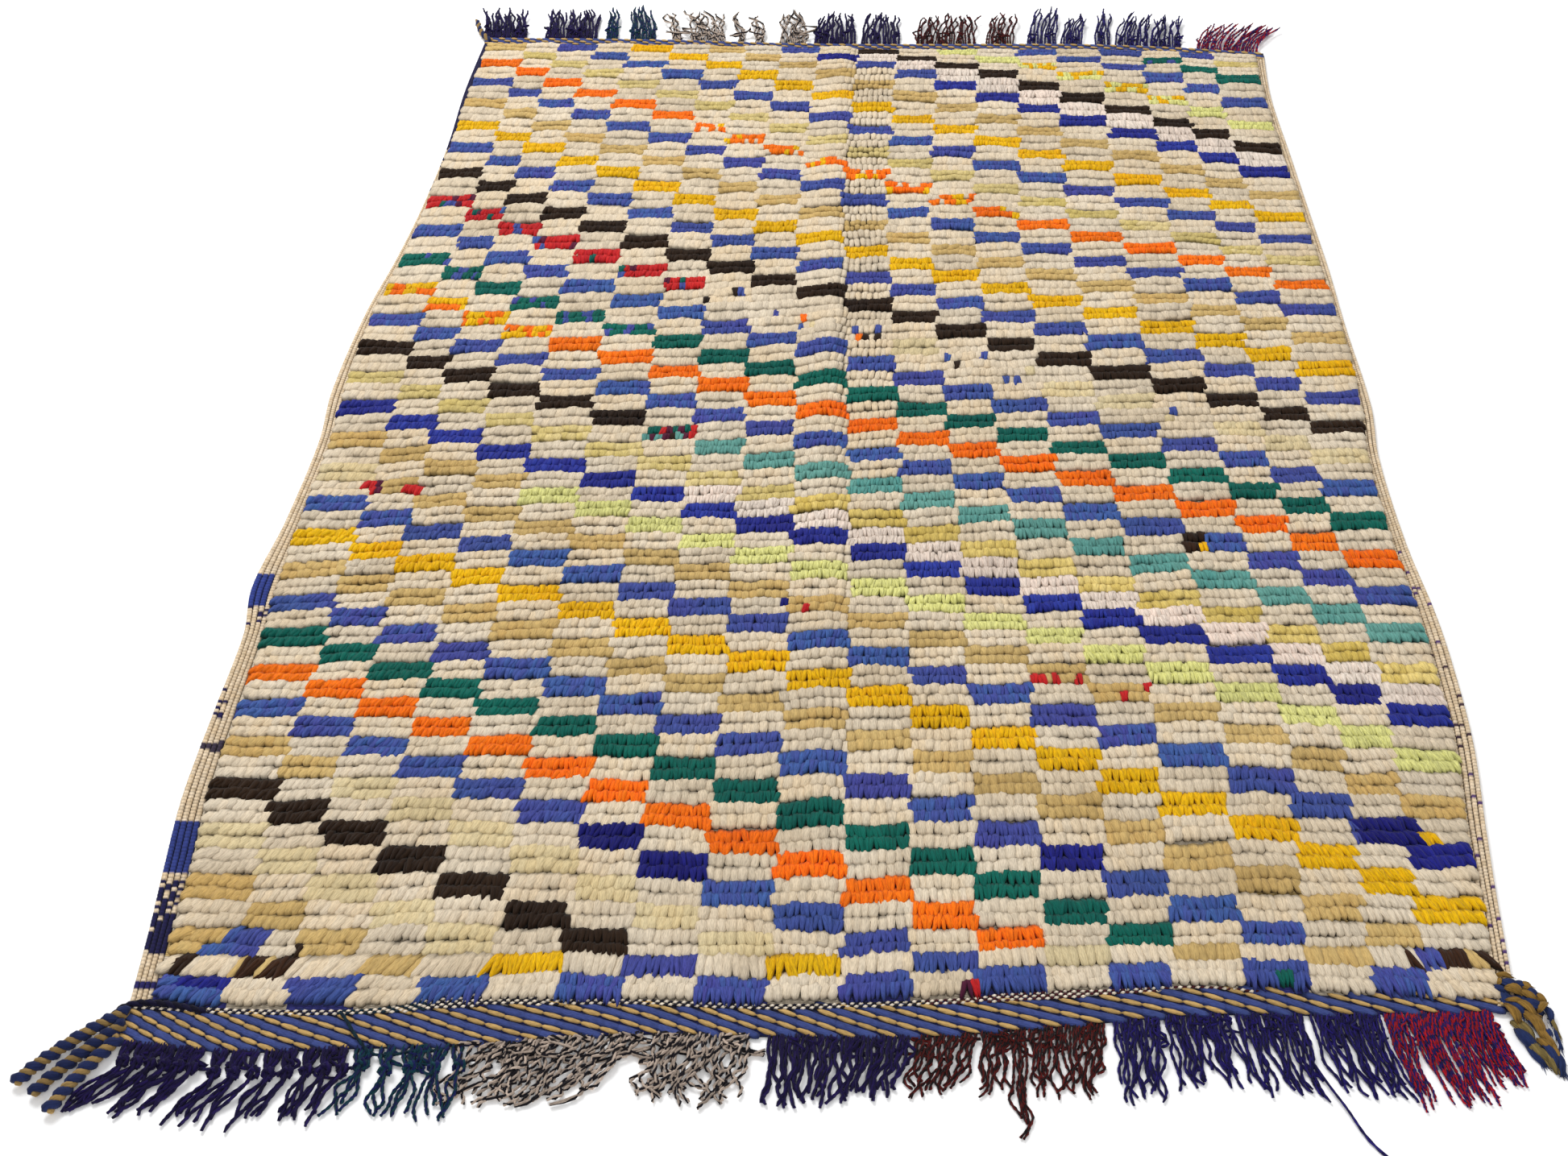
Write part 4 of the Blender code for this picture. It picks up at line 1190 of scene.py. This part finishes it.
def build_ground():
    """Ground weave under the knots: one thin sheet with the checks' colours on both faces."""
    columns = CHECK_COLUMNS
    lines = 2 * CHECK_ROWS
    rows = np.linspace(FIRST_ROW_EDGE, LAST_ROW_EDGE, lines + 1)
    across, along = np.meshgrid(CHECK_EDGES, rows)
    x, y = cloth_point(across, along)
    low = ground_height(x, y)
    bottom = np.stack([x, y, low], axis=2).reshape(-1, 3)
    top = np.stack([x, y, low + GROUND_TOP], axis=2).reshape(-1, 3)
    step = columns + 1
    size = len(top)
    faces, dyes = [], []
    for line in range(lines):
        for column in range(columns):
            here = line * step + column
            quad = (here, here + step, here + step + 1, here + 1)
            key = yarn_of(column + 1, line // 2 + 1)
            key = MIXES[key][0][0] if key in MIXES else key
            faces += [tuple(corner + size for corner in quad), quad[::-1]]
            dyes += [paint(YARNS[key][0])] * 2
    rim = list(range(columns))
    rim += [line * step + columns for line in range(lines)]
    rim += [lines * step + column for column in range(columns, 0, -1)]
    rim += [line * step for line in range(lines, 0, -1)]
    for place, here in enumerate(rim):
        after = rim[(place + 1) % len(rim)]
        faces.append((here, here + size, after + size, after))
        dyes.append(paint(YARNS["cream"][0]))
    mesh = bpy.data.meshes.new("ground_weave")
    mesh.from_pydata(np.concatenate([bottom, top]).tolist(), [], faces)
    dye = mesh.attributes.new("dye", "FLOAT_COLOR", "FACE")
    dye.data.foreach_set("color", np.array(dyes, np.float32).ravel())
    return add_piece("ground_weave", mesh, weave_material(), "pile_wool", "pile_field")


# Selvedges

def selvedge_dyes(side, along_y, cord, draw):
    """Colour of each wrap of a selvedge's cord: beige, with patches and flecks of other yarns."""
    part = draw.uniform(0, 1, (len(along_y), 1))
    dyes = mix(linear(SELVEDGE_BEIGE), linear(SELVEDGE_PALE), part)
    flecks = draw.uniform(0, 1, len(along_y))
    for row in WRAP_PATCHES[side]:
        patch = dict(zip(WRAP_COLUMNS, row))
        inside = (along_y > patch["low"]) & (along_y < patch["high"])
        if cord >= patch["cord"]:
            dyes[inside & (flecks < patch["share"])] = linear(patch["colour"])
    return dyes


def build_selvedge(side, material):
    """Weft-wrapped cords along one long edge."""
    draw = np.random.default_rng(len(side))
    outward = OUTWARD[side]
    count = int((FAR_TOP - NEAR_TOP) / WRAP_PITCH) * 2
    _, ends = cloth_point(np.full(2, outward), np.array((FIRST_ROW_EDGE, LAST_ROW_EDGE)))
    y = np.linspace(*ends, count)
    inner = side_x("pile_" + side, y) + outward * SEAM_GAP
    outer = side_x("outer_" + side, y)
    cords = np.arange(SELVEDGE_CORDS)
    width = (outer - inner) * outward / SELVEDGE_CORDS
    middle = inner + outward * (cords[:, None] + 0.5) * width[None]
    wobble = WRAP_WOBBLE * draw.uniform(-1, 1, (SELVEDGE_CORDS, count))
    waist = np.where((np.arange(count)[None] + cords[:, None]) % 2, 1.0, WRAP_WAIST) + wobble
    spine = np.stack([middle, np.broadcast_to(y, middle.shape), np.zeros_like(middle)], axis=2)
    half = WRAP_HALF * width[None] * mix(0.5, 1.0, waist)
    sides = floor_side(directions(spine)) * half[:, :, None]
    ups = UP * (SELVEDGE_TOP * waist)[:, :, None]
    # Painted shade: the dips between wraps, where the cord narrows, are darker
    depth = mix(0.25, 1.0, share_of(waist, WRAP_WAIST, 1))
    tone = draw.uniform(0.2, 0.8, SELVEDGE_CORDS)
    dye = np.stack([np.repeat(selvedge_dyes(side, y[::2], cord, draw), 2, axis=0)[:count]
                    for cord in cords])
    name = "wraps_" + side
    mesh = tubes(name, spine, sides, ups, WRAP_SECTION, depth, tone, dye=dye)
    return add_piece(name, mesh, material, "beige_wrap", "selvedge_" + side)


# Bands

def band_lines(end):
    """Corners of a band: x along it, and its inner and outer edge there."""
    row = LAST_ROW_EDGE if end == "near" else FIRST_ROW_EDGE
    _, (y_left, y_right) = cloth_point(np.array((-1.0, 1.0)), np.full(2, row))
    x = np.linspace(side_x("outer_left", y_left), side_x("outer_right", y_right), BAND_STEPS)
    inner = end_y("pile_" + end, x) + OUTWARD[end] * SEAM_GAP
    outer = end_y("band_" + end, x)
    if end == "near":
        places, inner_shift, outer_shift = BAND_SHIFTS
        inner = inner + np.interp(x, places, inner_shift)
        outer = outer + np.interp(x, places, outer_shift)
    return x, inner, outer


def build_band_base(end, material):
    """Thin bed that carries a band's stitches."""
    x, inner, outer = band_lines(end)
    start = np.stack([x, inner, np.zeros_like(x)], axis=1)
    stop = np.stack([x, outer, np.zeros_like(x)], axis=1)
    spine = (0.5 * (start + stop))[None]
    side = (0.5 * (stop - start))[None]
    if end == "near":
        side = -side
    up = np.broadcast_to(UP * BAND_BASE, spine.shape)
    # Painted shade: the bed between the stitches is darkened by a fixed half depth
    depth = np.full(spine.shape[:2], 0.5)
    dye = np.broadcast_to(linear(BED_BLUE), spine.shape)
    name = f"band_{end}_bed"
    mesh = tubes(name, spine, side, up, BED_SECTION, depth, np.array([0.5]), dye=dye)
    return add_piece(name, mesh, material, "blue_twine", "band_" + end)


def spindles(name, shape, middle, along, length, width, height, blunt, tone, dye):
    """Plump stitches, thick in the middle and narrow at their ends."""
    profile = np.array(shape)
    run = profile[None, :, 0] * length[:, None]
    size = mix(blunt[:, None], 1.0, profile[None, :, 1])
    spine = middle[:, None] + along[:, None] * run[:, :, None]
    side = floor_side(along)[:, None] * (0.5 * width[:, None] * size)[:, :, None]
    up = UP * (0.5 * height[:, None] * size)[:, :, None]
    # Painted shade: stitches and dots are darker towards their narrow ends
    depth = np.broadcast_to(mix(0.35, 1.0, profile[:, 1]), run.shape)
    return tubes(name, spine, side, up, round_section(SPINDLE_SIDES), depth, tone, dye=dye)


def band_stitches(end, draw):
    """Middle, direction, size, bluntness, tone and colour of each stitch of a band."""
    band = dict(zip(BAND_COLUMNS, BANDS[end]))
    x, inner, outer = band_lines(end)
    depth = np.abs(outer - inner)
    span = x[-1] - x[0]
    found = []
    for row in range(math.ceil(depth.max() / band["row_pitch"])):
        for half in range(-2, math.ceil(2 * span / band["stitch_pitch"])):
            kind = "tan" if half % 2 else "blue"
            long, tall, sunk, blunt, colour = STITCHES[kind]
            turns = 0.5 * (half + row % 2) - 0.2
            share = min(turns * band["stitch_pitch"] / span, 1.0)
            pitch = band["stitch_pitch"] + band["widening"] * max(share, 0) ** 0.5
            at = x[0] + turns * pitch + STITCH_JITTER * draw.uniform(-1, 1)
            room = np.interp(at, x, depth)
            away = (row + 0.5) * band["row_pitch"]
            if at < x[0] or at > x[-1] or away > room + 0.001:
                continue
            y = np.interp(at, x, outer) - OUTWARD[end] * away
            before, after = np.interp((at - SLOPE_SPAN, at + SLOPE_SPAN), x, outer)
            slope = (after - before) / (2 * SLOPE_SPAN)
            along = np.array((1.0, slope - band["slant"], 0.0))
            along /= np.linalg.norm(along)
            length = long * pitch * draw.uniform(0.95, 1.05)
            width = band[kind + "_wide"] * draw.uniform(0.92, 1.08)
            height = tall * width
            level = BAND_TOP - 0.5 * height - sunk
            found.append(((at, y, level), along, length, width, height, blunt,
                          draw.uniform(0, 1), linear(colour)))
    return [np.array(column, float) for column in zip(*found)]


def build_band(end, material):
    draw = np.random.default_rng(len(end))
    bed = build_band_base(end, material)
    name = f"band_{end}_stitches"
    mesh = spindles(name, STITCH, *band_stitches(end, draw))
    return [bed, add_piece(name, mesh, material, "blue_twine", "band_" + end)]


def build_dots(material):
    """Countertwined rows of dark and pale dots between the pile and the near band."""
    draw = np.random.default_rng(31)
    x, inner, _ = band_lines("near")
    places, counts = np.array(DOT_ROWS).T
    found = []
    for row in range(int(counts.max())):
        start = x[0] + 0.5 * DOT_PITCH * (row % 2)
        for step, at in enumerate(np.arange(start, x[-1] - 0.01, DOT_PITCH / 2)):
            rows = np.interp(at, places, counts)
            if row + 0.5 > rows:
                continue
            y = np.interp(at, x, inner) + (rows - row - 1.2) * DOT_ROW_PITCH
            dark = [colour for left, colour in DOT_DARKS if at > left][-1]
            colour = DOT_CREAM if step % 2 else dark
            along = np.array((1.0, DOT_SLANT, 0.0)) / math.hypot(1.0, DOT_SLANT)
            spot = (at, y + DOT_JITTER * draw.uniform(-1, 1), DOT_LEVEL + DOT_RISE * rows)
            found.append((spot, along, *DOT_SIZE, draw.uniform(0, 1), linear(colour)))
    columns = [np.array(column, float) for column in zip(*found)]
    mesh = spindles("countertwine", DOT, *columns)
    return add_piece("countertwine", mesh, material, "blue_twine", "band_near")


# Fringe

def add_yarns(name, path, colours, form, draw, material, slot, node, swell=0.0):
    """Two-ply yarns along (yarn, step, xyz) paths: each ply winds round the yarn's middle."""
    radius, twist, pitch, sides, slim = form
    count, steps = path.shape[:2]
    side, above = beside_and_above(path)
    start = draw.uniform(0, 2 * math.pi, (count, 1))
    spines, dyes = [], []
    for ply in range(2):
        turn = start + math.pi * ply + 2 * math.pi * run_along(path) / pitch
        shift = side * np.cos(turn)[:, :, None] + above * np.sin(turn)[:, :, None]
        spines.append(path + shift * twist)
        dyes.append(linear(colours[ply]) * draw.uniform(*PLY_SHADES, (count, 1)))
    spine = np.concatenate(spines)
    side, above = beside_and_above(spine)
    size = np.ones((2 * count, steps))
    size[count:] *= slim
    size *= 1 + swell * share_of(np.linspace(0, 1, steps), *SWELL_SPAN)
    size[:, -1] *= YARN_TIP
    half = (radius * size)[:, :, None]
    depth = np.full((2 * count, steps), 0.95)
    tone = draw.uniform(0, 1, 2 * count)
    mesh = tubes(name, spine, side * half, -above * half, round_section(sides, 0.5), depth, tone,
                 dye=np.concatenate(dyes))
    return add_piece(name, mesh, material, slot, node)


def fringe_paths(end, clumps, group, wander, form, draw):
    """Middle lines of a fringe's yarns over the floor: whole ones and short matted ones."""
    x_line, _, outer = band_lines(end)
    part = np.linspace(0, 1, YARN_STEPS[end])
    wander = wander if end == "near" else FAR_WANDER * wander
    radius, twist = form[:2]
    rest = radius * YARN_REST + twist
    paths = []
    for clump in clumps:
        count = clump["yarns"]
        short = round(count * SHORT_SHARE)
        for place in range(count + short):
            whole = place < count
            share = (place + 0.5 + draw.uniform(-0.3, 0.3)) / count if whole else draw.uniform(0, 1)
            root = mix(clump["root_from"], clump["root_to"], share)
            tip_share = np.clip(share + draw.normal(0, TIP_STRAY), 0, 1)
            tip = mix(clump["tip_from"], clump["tip_to"], tip_share)
            length = clump["reach"] * draw.uniform(*(WHOLE_REACH if whole else SHORT_REACH))
            roam = wander if whole else SHORT_WANDER * wander
            flow = part * length / clump["reach"]
            bend = flow ** 2 * (1.6 - 0.6 * flow)
            waves = draw.uniform(0.8, 2.0)
            starts = draw.uniform(0, 2 * math.pi, 3)
            swing = flow if whole else part
            sway = roam * swing * np.sin(2 * math.pi * waves * part + starts[0])
            curl = CURL * roam * swing * np.sin(2 * math.pi * CURL_WAVES * part + starts[1])
            x = mix(root, tip, bend) + sway + curl
            if group and whole:
                middle_share = (math.floor(share * count / group) + 0.5) * group / count
                middle = mix(clump["root_from"], clump["root_to"], min(middle_share, 1))
                x = mix(x, middle, PINCH * np.exp(-((flow - KNOT_PLACE) / PINCH_LENGTH) ** 2))
            ease = roam * 0.5 * np.sin(2 * math.pi * waves * part + starts[2]) * part
            away = length * part - ROOT_TUCK + ease
            y = np.interp(root, x_line, outer) + OUTWARD[end] * away
            level = draw.uniform(0.0, MOST_LEVEL) * np.sin(math.pi * np.clip(part * 1.15, 0, 1))
            z = rest + level
            if end == "far":
                z = z + draw.uniform(0.2, 1.0) * FAR_RISE * part ** 1.5
            paths.append(np.stack([x, y, z], axis=1))
    return np.array(paths)


def fringe_knots(clumps, group):
    """Middles of the overhand knots that gather a fringe's yarns."""
    x_line, _, outer = band_lines("near")
    middles = []
    for clump in clumps:
        count = clump["yarns"]
        for place in range(math.ceil(count / group)):
            share = min((place + 0.5) * group / count, 1)
            root = mix(clump["root_from"], clump["root_to"], share)
            y = np.interp(root, x_line, outer) - clump["reach"] * KNOT_PLACE + 0.004
            middles.append((root, y, KNOT_LEVEL))
    return middles


def knot_loops(middles, draw):
    """Yarn wound once round the others at each knot."""
    half_x, half_y, half_z = LOOP_HALF
    loops = []
    for middle in middles:
        tilt = draw.uniform(-0.5, 0.5)
        x = half_x * np.cos(LOOP_TURNS)
        y = half_y * np.sin(LOOP_TURNS) + LOOP_CLIMB * (LOOP_TURNS / LOOP_TURNS[-1] - 0.5)
        z = half_z * np.sin(LOOP_TURNS + 0.6)
        loops.append(np.stack([middle[0] + x * math.cos(tilt) - y * math.sin(tilt),
                               middle[1] + x * math.sin(tilt) + y * math.cos(tilt),
                               np.maximum(middle[2] + z, LOOP_FLOOR)], axis=1))
    return np.array(loops)


def build_fringes(end, table, materials):
    """The fringes of one end, a piece for each dyed stretch of warp."""
    pieces = []
    for stretch, rows in table.items():
        clumps = [dict(zip(CLUMP_COLUMNS, row)) for row in rows]
        place = f"{end}_{stretch}"
        node = "fringe_" + place
        key = stretch.split("_")[0]
        group = KNOTTED.get(place, 0)
        first, second, wander, form = PLIES[key]
        draw = np.random.default_rng(len(node) * 100 + len(clumps))
        paths = fringe_paths(end, clumps, group, wander, form, draw)
        colours = (first, second)
        looks = (materials[key], key + "_yarn", node)
        pieces.append(add_yarns("yarns_" + place, paths, colours, form, draw, *looks,
                                swell=ROOT_SWELL if group else 0.0))
        if group:
            loops = knot_loops(fringe_knots(clumps, group), draw)
            pieces.append(add_yarns("knots_" + place, loops, colours, LOOP_FORM, draw, *looks))
    return pieces


# Corner tails and knot

def curve_points(points, steps):
    """Even steps on a smooth curve through a few points."""
    points = np.array(points, float)
    places = np.linspace(0, 1, len(points))
    at = np.linspace(0, 1, steps)
    return np.stack([smooth_line(places, points[:, axis], at) for axis in range(3)], axis=1)


def build_tails(material):
    """Three thick twined tails at the near left corner, and a thinner one at the far left."""
    draw = np.random.default_rng(3)
    part = np.linspace(0, 1, TAIL_STEPS)[:, None]
    low, high, end = TAIL_LEVELS
    paths = []
    for root_y, middle_x, middle_y, tip_x, tip_y in TAIL_ROWS:
        root = np.array((TAIL_ROOT_X, root_y, low))
        middle = np.array((middle_x, middle_y, high))
        tip = np.array((tip_x, tip_y, end))
        paths.append(mix(mix(root, middle, part), mix(middle, tip, part), part))
    colours = (TAIL_BLUE, BAND_TAN)
    far_path = curve_points(FAR_TAIL, FAR_TAIL_STEPS)[None]
    return [add_yarns("twined_tails", np.array(paths), colours, TAIL_FORM, draw, material,
                      "blue_twine", "corner_tails"),
            add_yarns("far_tail", far_path, colours, FAR_TAIL_FORM, draw, material,
                      "blue_twine", "band_far")]


def build_threads(material):
    """Dark teal yarn end lying across the near band, and the dark cord at its left corner."""
    draw = np.random.default_rng(5)
    thread = curve_points(TEAL_THREAD, THREAD_STEPS)[None]
    cord = curve_points(CORNER_CORD, CORD_STEPS)[None]
    return [add_yarns("teal_thread", thread, THREAD_DYES, THREAD_FORM, draw, material,
                      "teal_yarn", "fringe_near_teal"),
            add_yarns("corner_cord", cord, CORD_DYES, CORD_FORM, draw, material,
                      "blue_twine", "band_near")]


def build_knot(material):
    """Knotted bunch of loose roving at the near right corner, in plump tufts and wisps."""
    draw = np.random.default_rng(9)
    lines, sizes, dyes = [], [], []
    part = np.linspace(-0.5, 0.5, TUFT_STEPS)
    for row in TUFTS:
        tuft = dict(zip(TUFT_COLUMNS, row))
        dye = linear(TUFT_DYES[tuft["colour"]])
        turn = math.radians(tuft["turn"])
        way = np.array((math.cos(turn), math.sin(turn), 0.0))
        aside = np.array((-way[1], way[0], 0.0))
        bow = draw.uniform(-0.16, 0.16)
        long, wide = tuft["long"] * MILLIMETRE, tuft["wide"] * MILLIMETRE
        middle = np.array((tuft["x"], tuft["y"], tuft["level"] * MILLIMETRE))
        line = middle + way * (part * long)[:, None]
        line = line + aside * (bow * long * (1 - 4 * part ** 2))[:, None]
        line[:, 2] -= TUFT_DROP * (2 * part) ** 2
        plump = 1 - TUFT_TAPER * np.abs(2 * part) ** TUFT_BLUNTNESS
        for strand in range(TUFT_STRANDS):
            turned = strand * 2 * math.pi / (TUFT_STRANDS - 1) + STRAND_TWIST * part
            spread = STRAND_SPREAD * wide * plump * (strand > 0) * draw.uniform(0.8, 1.15)
            shifted = line + aside * (spread * np.cos(turned))[:, None]
            shifted[:, 2] += 0.8 * spread * np.sin(turned)
            lines.append(shifted + way * 0.06 * long * draw.uniform(-1, 1))
            sizes.append(0.5 * wide * (STRAND_WIDE if strand else CORE_WIDE) * plump)
            dyes.append(dye * draw.uniform(0.85, 1.15))
        for _ in range(FRAYS):
            swerve = turn + draw.normal(0, FRAY_SWERVE)
            reach = long * draw.uniform(0.25, 0.55)
            start = line[-2] + aside * wide * draw.uniform(-0.25, 0.25)
            heading = np.array((math.cos(swerve), math.sin(swerve), 0.0))
            wisp = start + heading * (reach * (part + 0.5))[:, None]
            wisp[:, 2] = np.maximum(wisp[:, 2] - 0.004 * (part + 0.5), 0.0012)
            lines.append(wisp)
            sizes.append(FRAY_RADIUS * (1.1 - (part + 0.5)))
            dyes.append(dye * draw.uniform(0.8, 1.25))
    lines, sizes, dyes = np.array(lines), np.array(sizes), np.array(dyes)
    lines[:, :, 2] = np.maximum(lines[:, :, 2], sizes * STRAND_FLAT + 0.0004)
    side, above = beside_and_above(lines)
    # Painted shade: each strand is darker towards its ends
    depth = np.broadcast_to(0.45 + 0.5 * (1 - np.abs(2 * part) ** 2), lines.shape[:2])
    tone = draw.uniform(0, 1, len(lines))
    mesh = tubes("corner_roving", lines, side * sizes[:, :, None],
                 -above * STRAND_FLAT * sizes[:, :, None], round_section(5), depth, tone,
                 dye=dyes)
    return add_piece("corner_roving", mesh, material, "blue_twine", "corner_knot")


# Stage

def build_floor():
    mesh = bpy.data.meshes.new("floor")
    signs = ((-1, -1), (1, -1), (1, 1), (-1, 1))
    corners = [(x * FLOOR_HALF, y * FLOOR_HALF, FLOOR_LEVEL) for x, y in signs]
    mesh.from_pydata(corners, [], [(0, 1, 2, 3)])
    material = bpy.data.materials.new("pale_floor")
    material.use_nodes = True
    shader = material.node_tree.nodes["Principled BSDF"]
    shader.inputs["Base Color"].default_value = (*[FLOOR_SHADE] * 3, 1.0)
    shader.inputs["Roughness"].default_value = 0.9
    shader.inputs["Specular IOR Level"].default_value = 0.1
    mesh.materials.append(material)
    floor = bpy.data.objects.new("floor", mesh)
    bpy.context.scene.collection.objects.link(floor)


def add_light(name, spot, size, power):
    """Round light that shines on the middle of the rug."""
    light = bpy.data.lights.new(name, "AREA")
    light.shape = "DISK"
    light.size = size
    light.energy = power
    item = bpy.data.objects.new(name, light)
    bpy.context.scene.collection.objects.link(item)
    item.location = spot
    item.rotation_euler = (-Vector(spot)).to_track_quat("-Z", "Y").to_euler()


def build_lights():
    """Soft overhead light from the far left, and an even surround."""
    world = bpy.data.worlds.new("studio")
    world.use_nodes = True
    background = world.node_tree.nodes["Background"]
    background.inputs["Color"].default_value = (1.0, 1.0, 1.0, 1.0)
    background.inputs["Strength"].default_value = SURROUND
    bpy.context.scene.world = world
    for row in LIGHTS:
        add_light(*row)


def build_camera():
    """Camera at the photograph's place and angle."""
    lens = bpy.data.cameras.new("view")
    lens.lens = CAMERA_LENS
    lens.sensor_width = SENSOR_WIDTH
    lens.clip_end = 60.0
    camera = bpy.data.objects.new("view", lens)
    bpy.context.scene.collection.objects.link(camera)
    right = Vector((math.cos(CAMERA_YAW), -math.sin(CAMERA_YAW), 0.0))
    forward = Vector((math.sin(CAMERA_YAW) * math.cos(CAMERA_PITCH),
                      math.cos(CAMERA_YAW) * math.cos(CAMERA_PITCH), -math.sin(CAMERA_PITCH)))
    above = right.cross(forward)
    right_rolled = math.cos(CAMERA_ROLL) * right + math.sin(CAMERA_ROLL) * above
    above_rolled = math.cos(CAMERA_ROLL) * above - math.sin(CAMERA_ROLL) * right
    turned = Matrix((right_rolled, above_rolled, -forward)).transposed()
    camera.matrix_world = Matrix.Translation(CAMERA_SPOT) @ turned.to_4x4()
    bpy.context.scene.camera = camera


def main():
    ground = build_ground()
    pieces = build_pile()
    wrap = wool_material("wrapped_cord", (205, 180, 146), dyed=True, shade=0.42, relief=0.3)
    twine = wool_material("twine", BAND_BLUE, dyed=True, shade=0.30, streaks=(0.5, 0.16))
    materials = {}
    for key, (first, second, *_) in PLIES.items():
        colour = np.sqrt((np.square(first) + np.square(second)) / 2)
        materials[key] = wool_material("yarn_" + key, colour, dyed=True, shade=0.35,
                                       streaks=(0.6, 0.25), silk=0.3)
    pieces += [build_selvedge(side, wrap) for side in ("left", "right")]
    pieces += build_band("near", twine) + build_band("far", twine)
    pieces.append(build_dots(twine))
    pieces += build_fringes("near", NEAR_CLUMPS, materials)
    pieces += build_fringes("far", FAR_CLUMPS, materials)
    pieces += build_tails(twine)
    pieces += build_threads(materials["teal"])
    pieces.append(build_knot(twine))
    build_floor()
    build_lights()
    build_camera()
    bpy.context.scene.view_settings.view_transform = "Standard"


main()
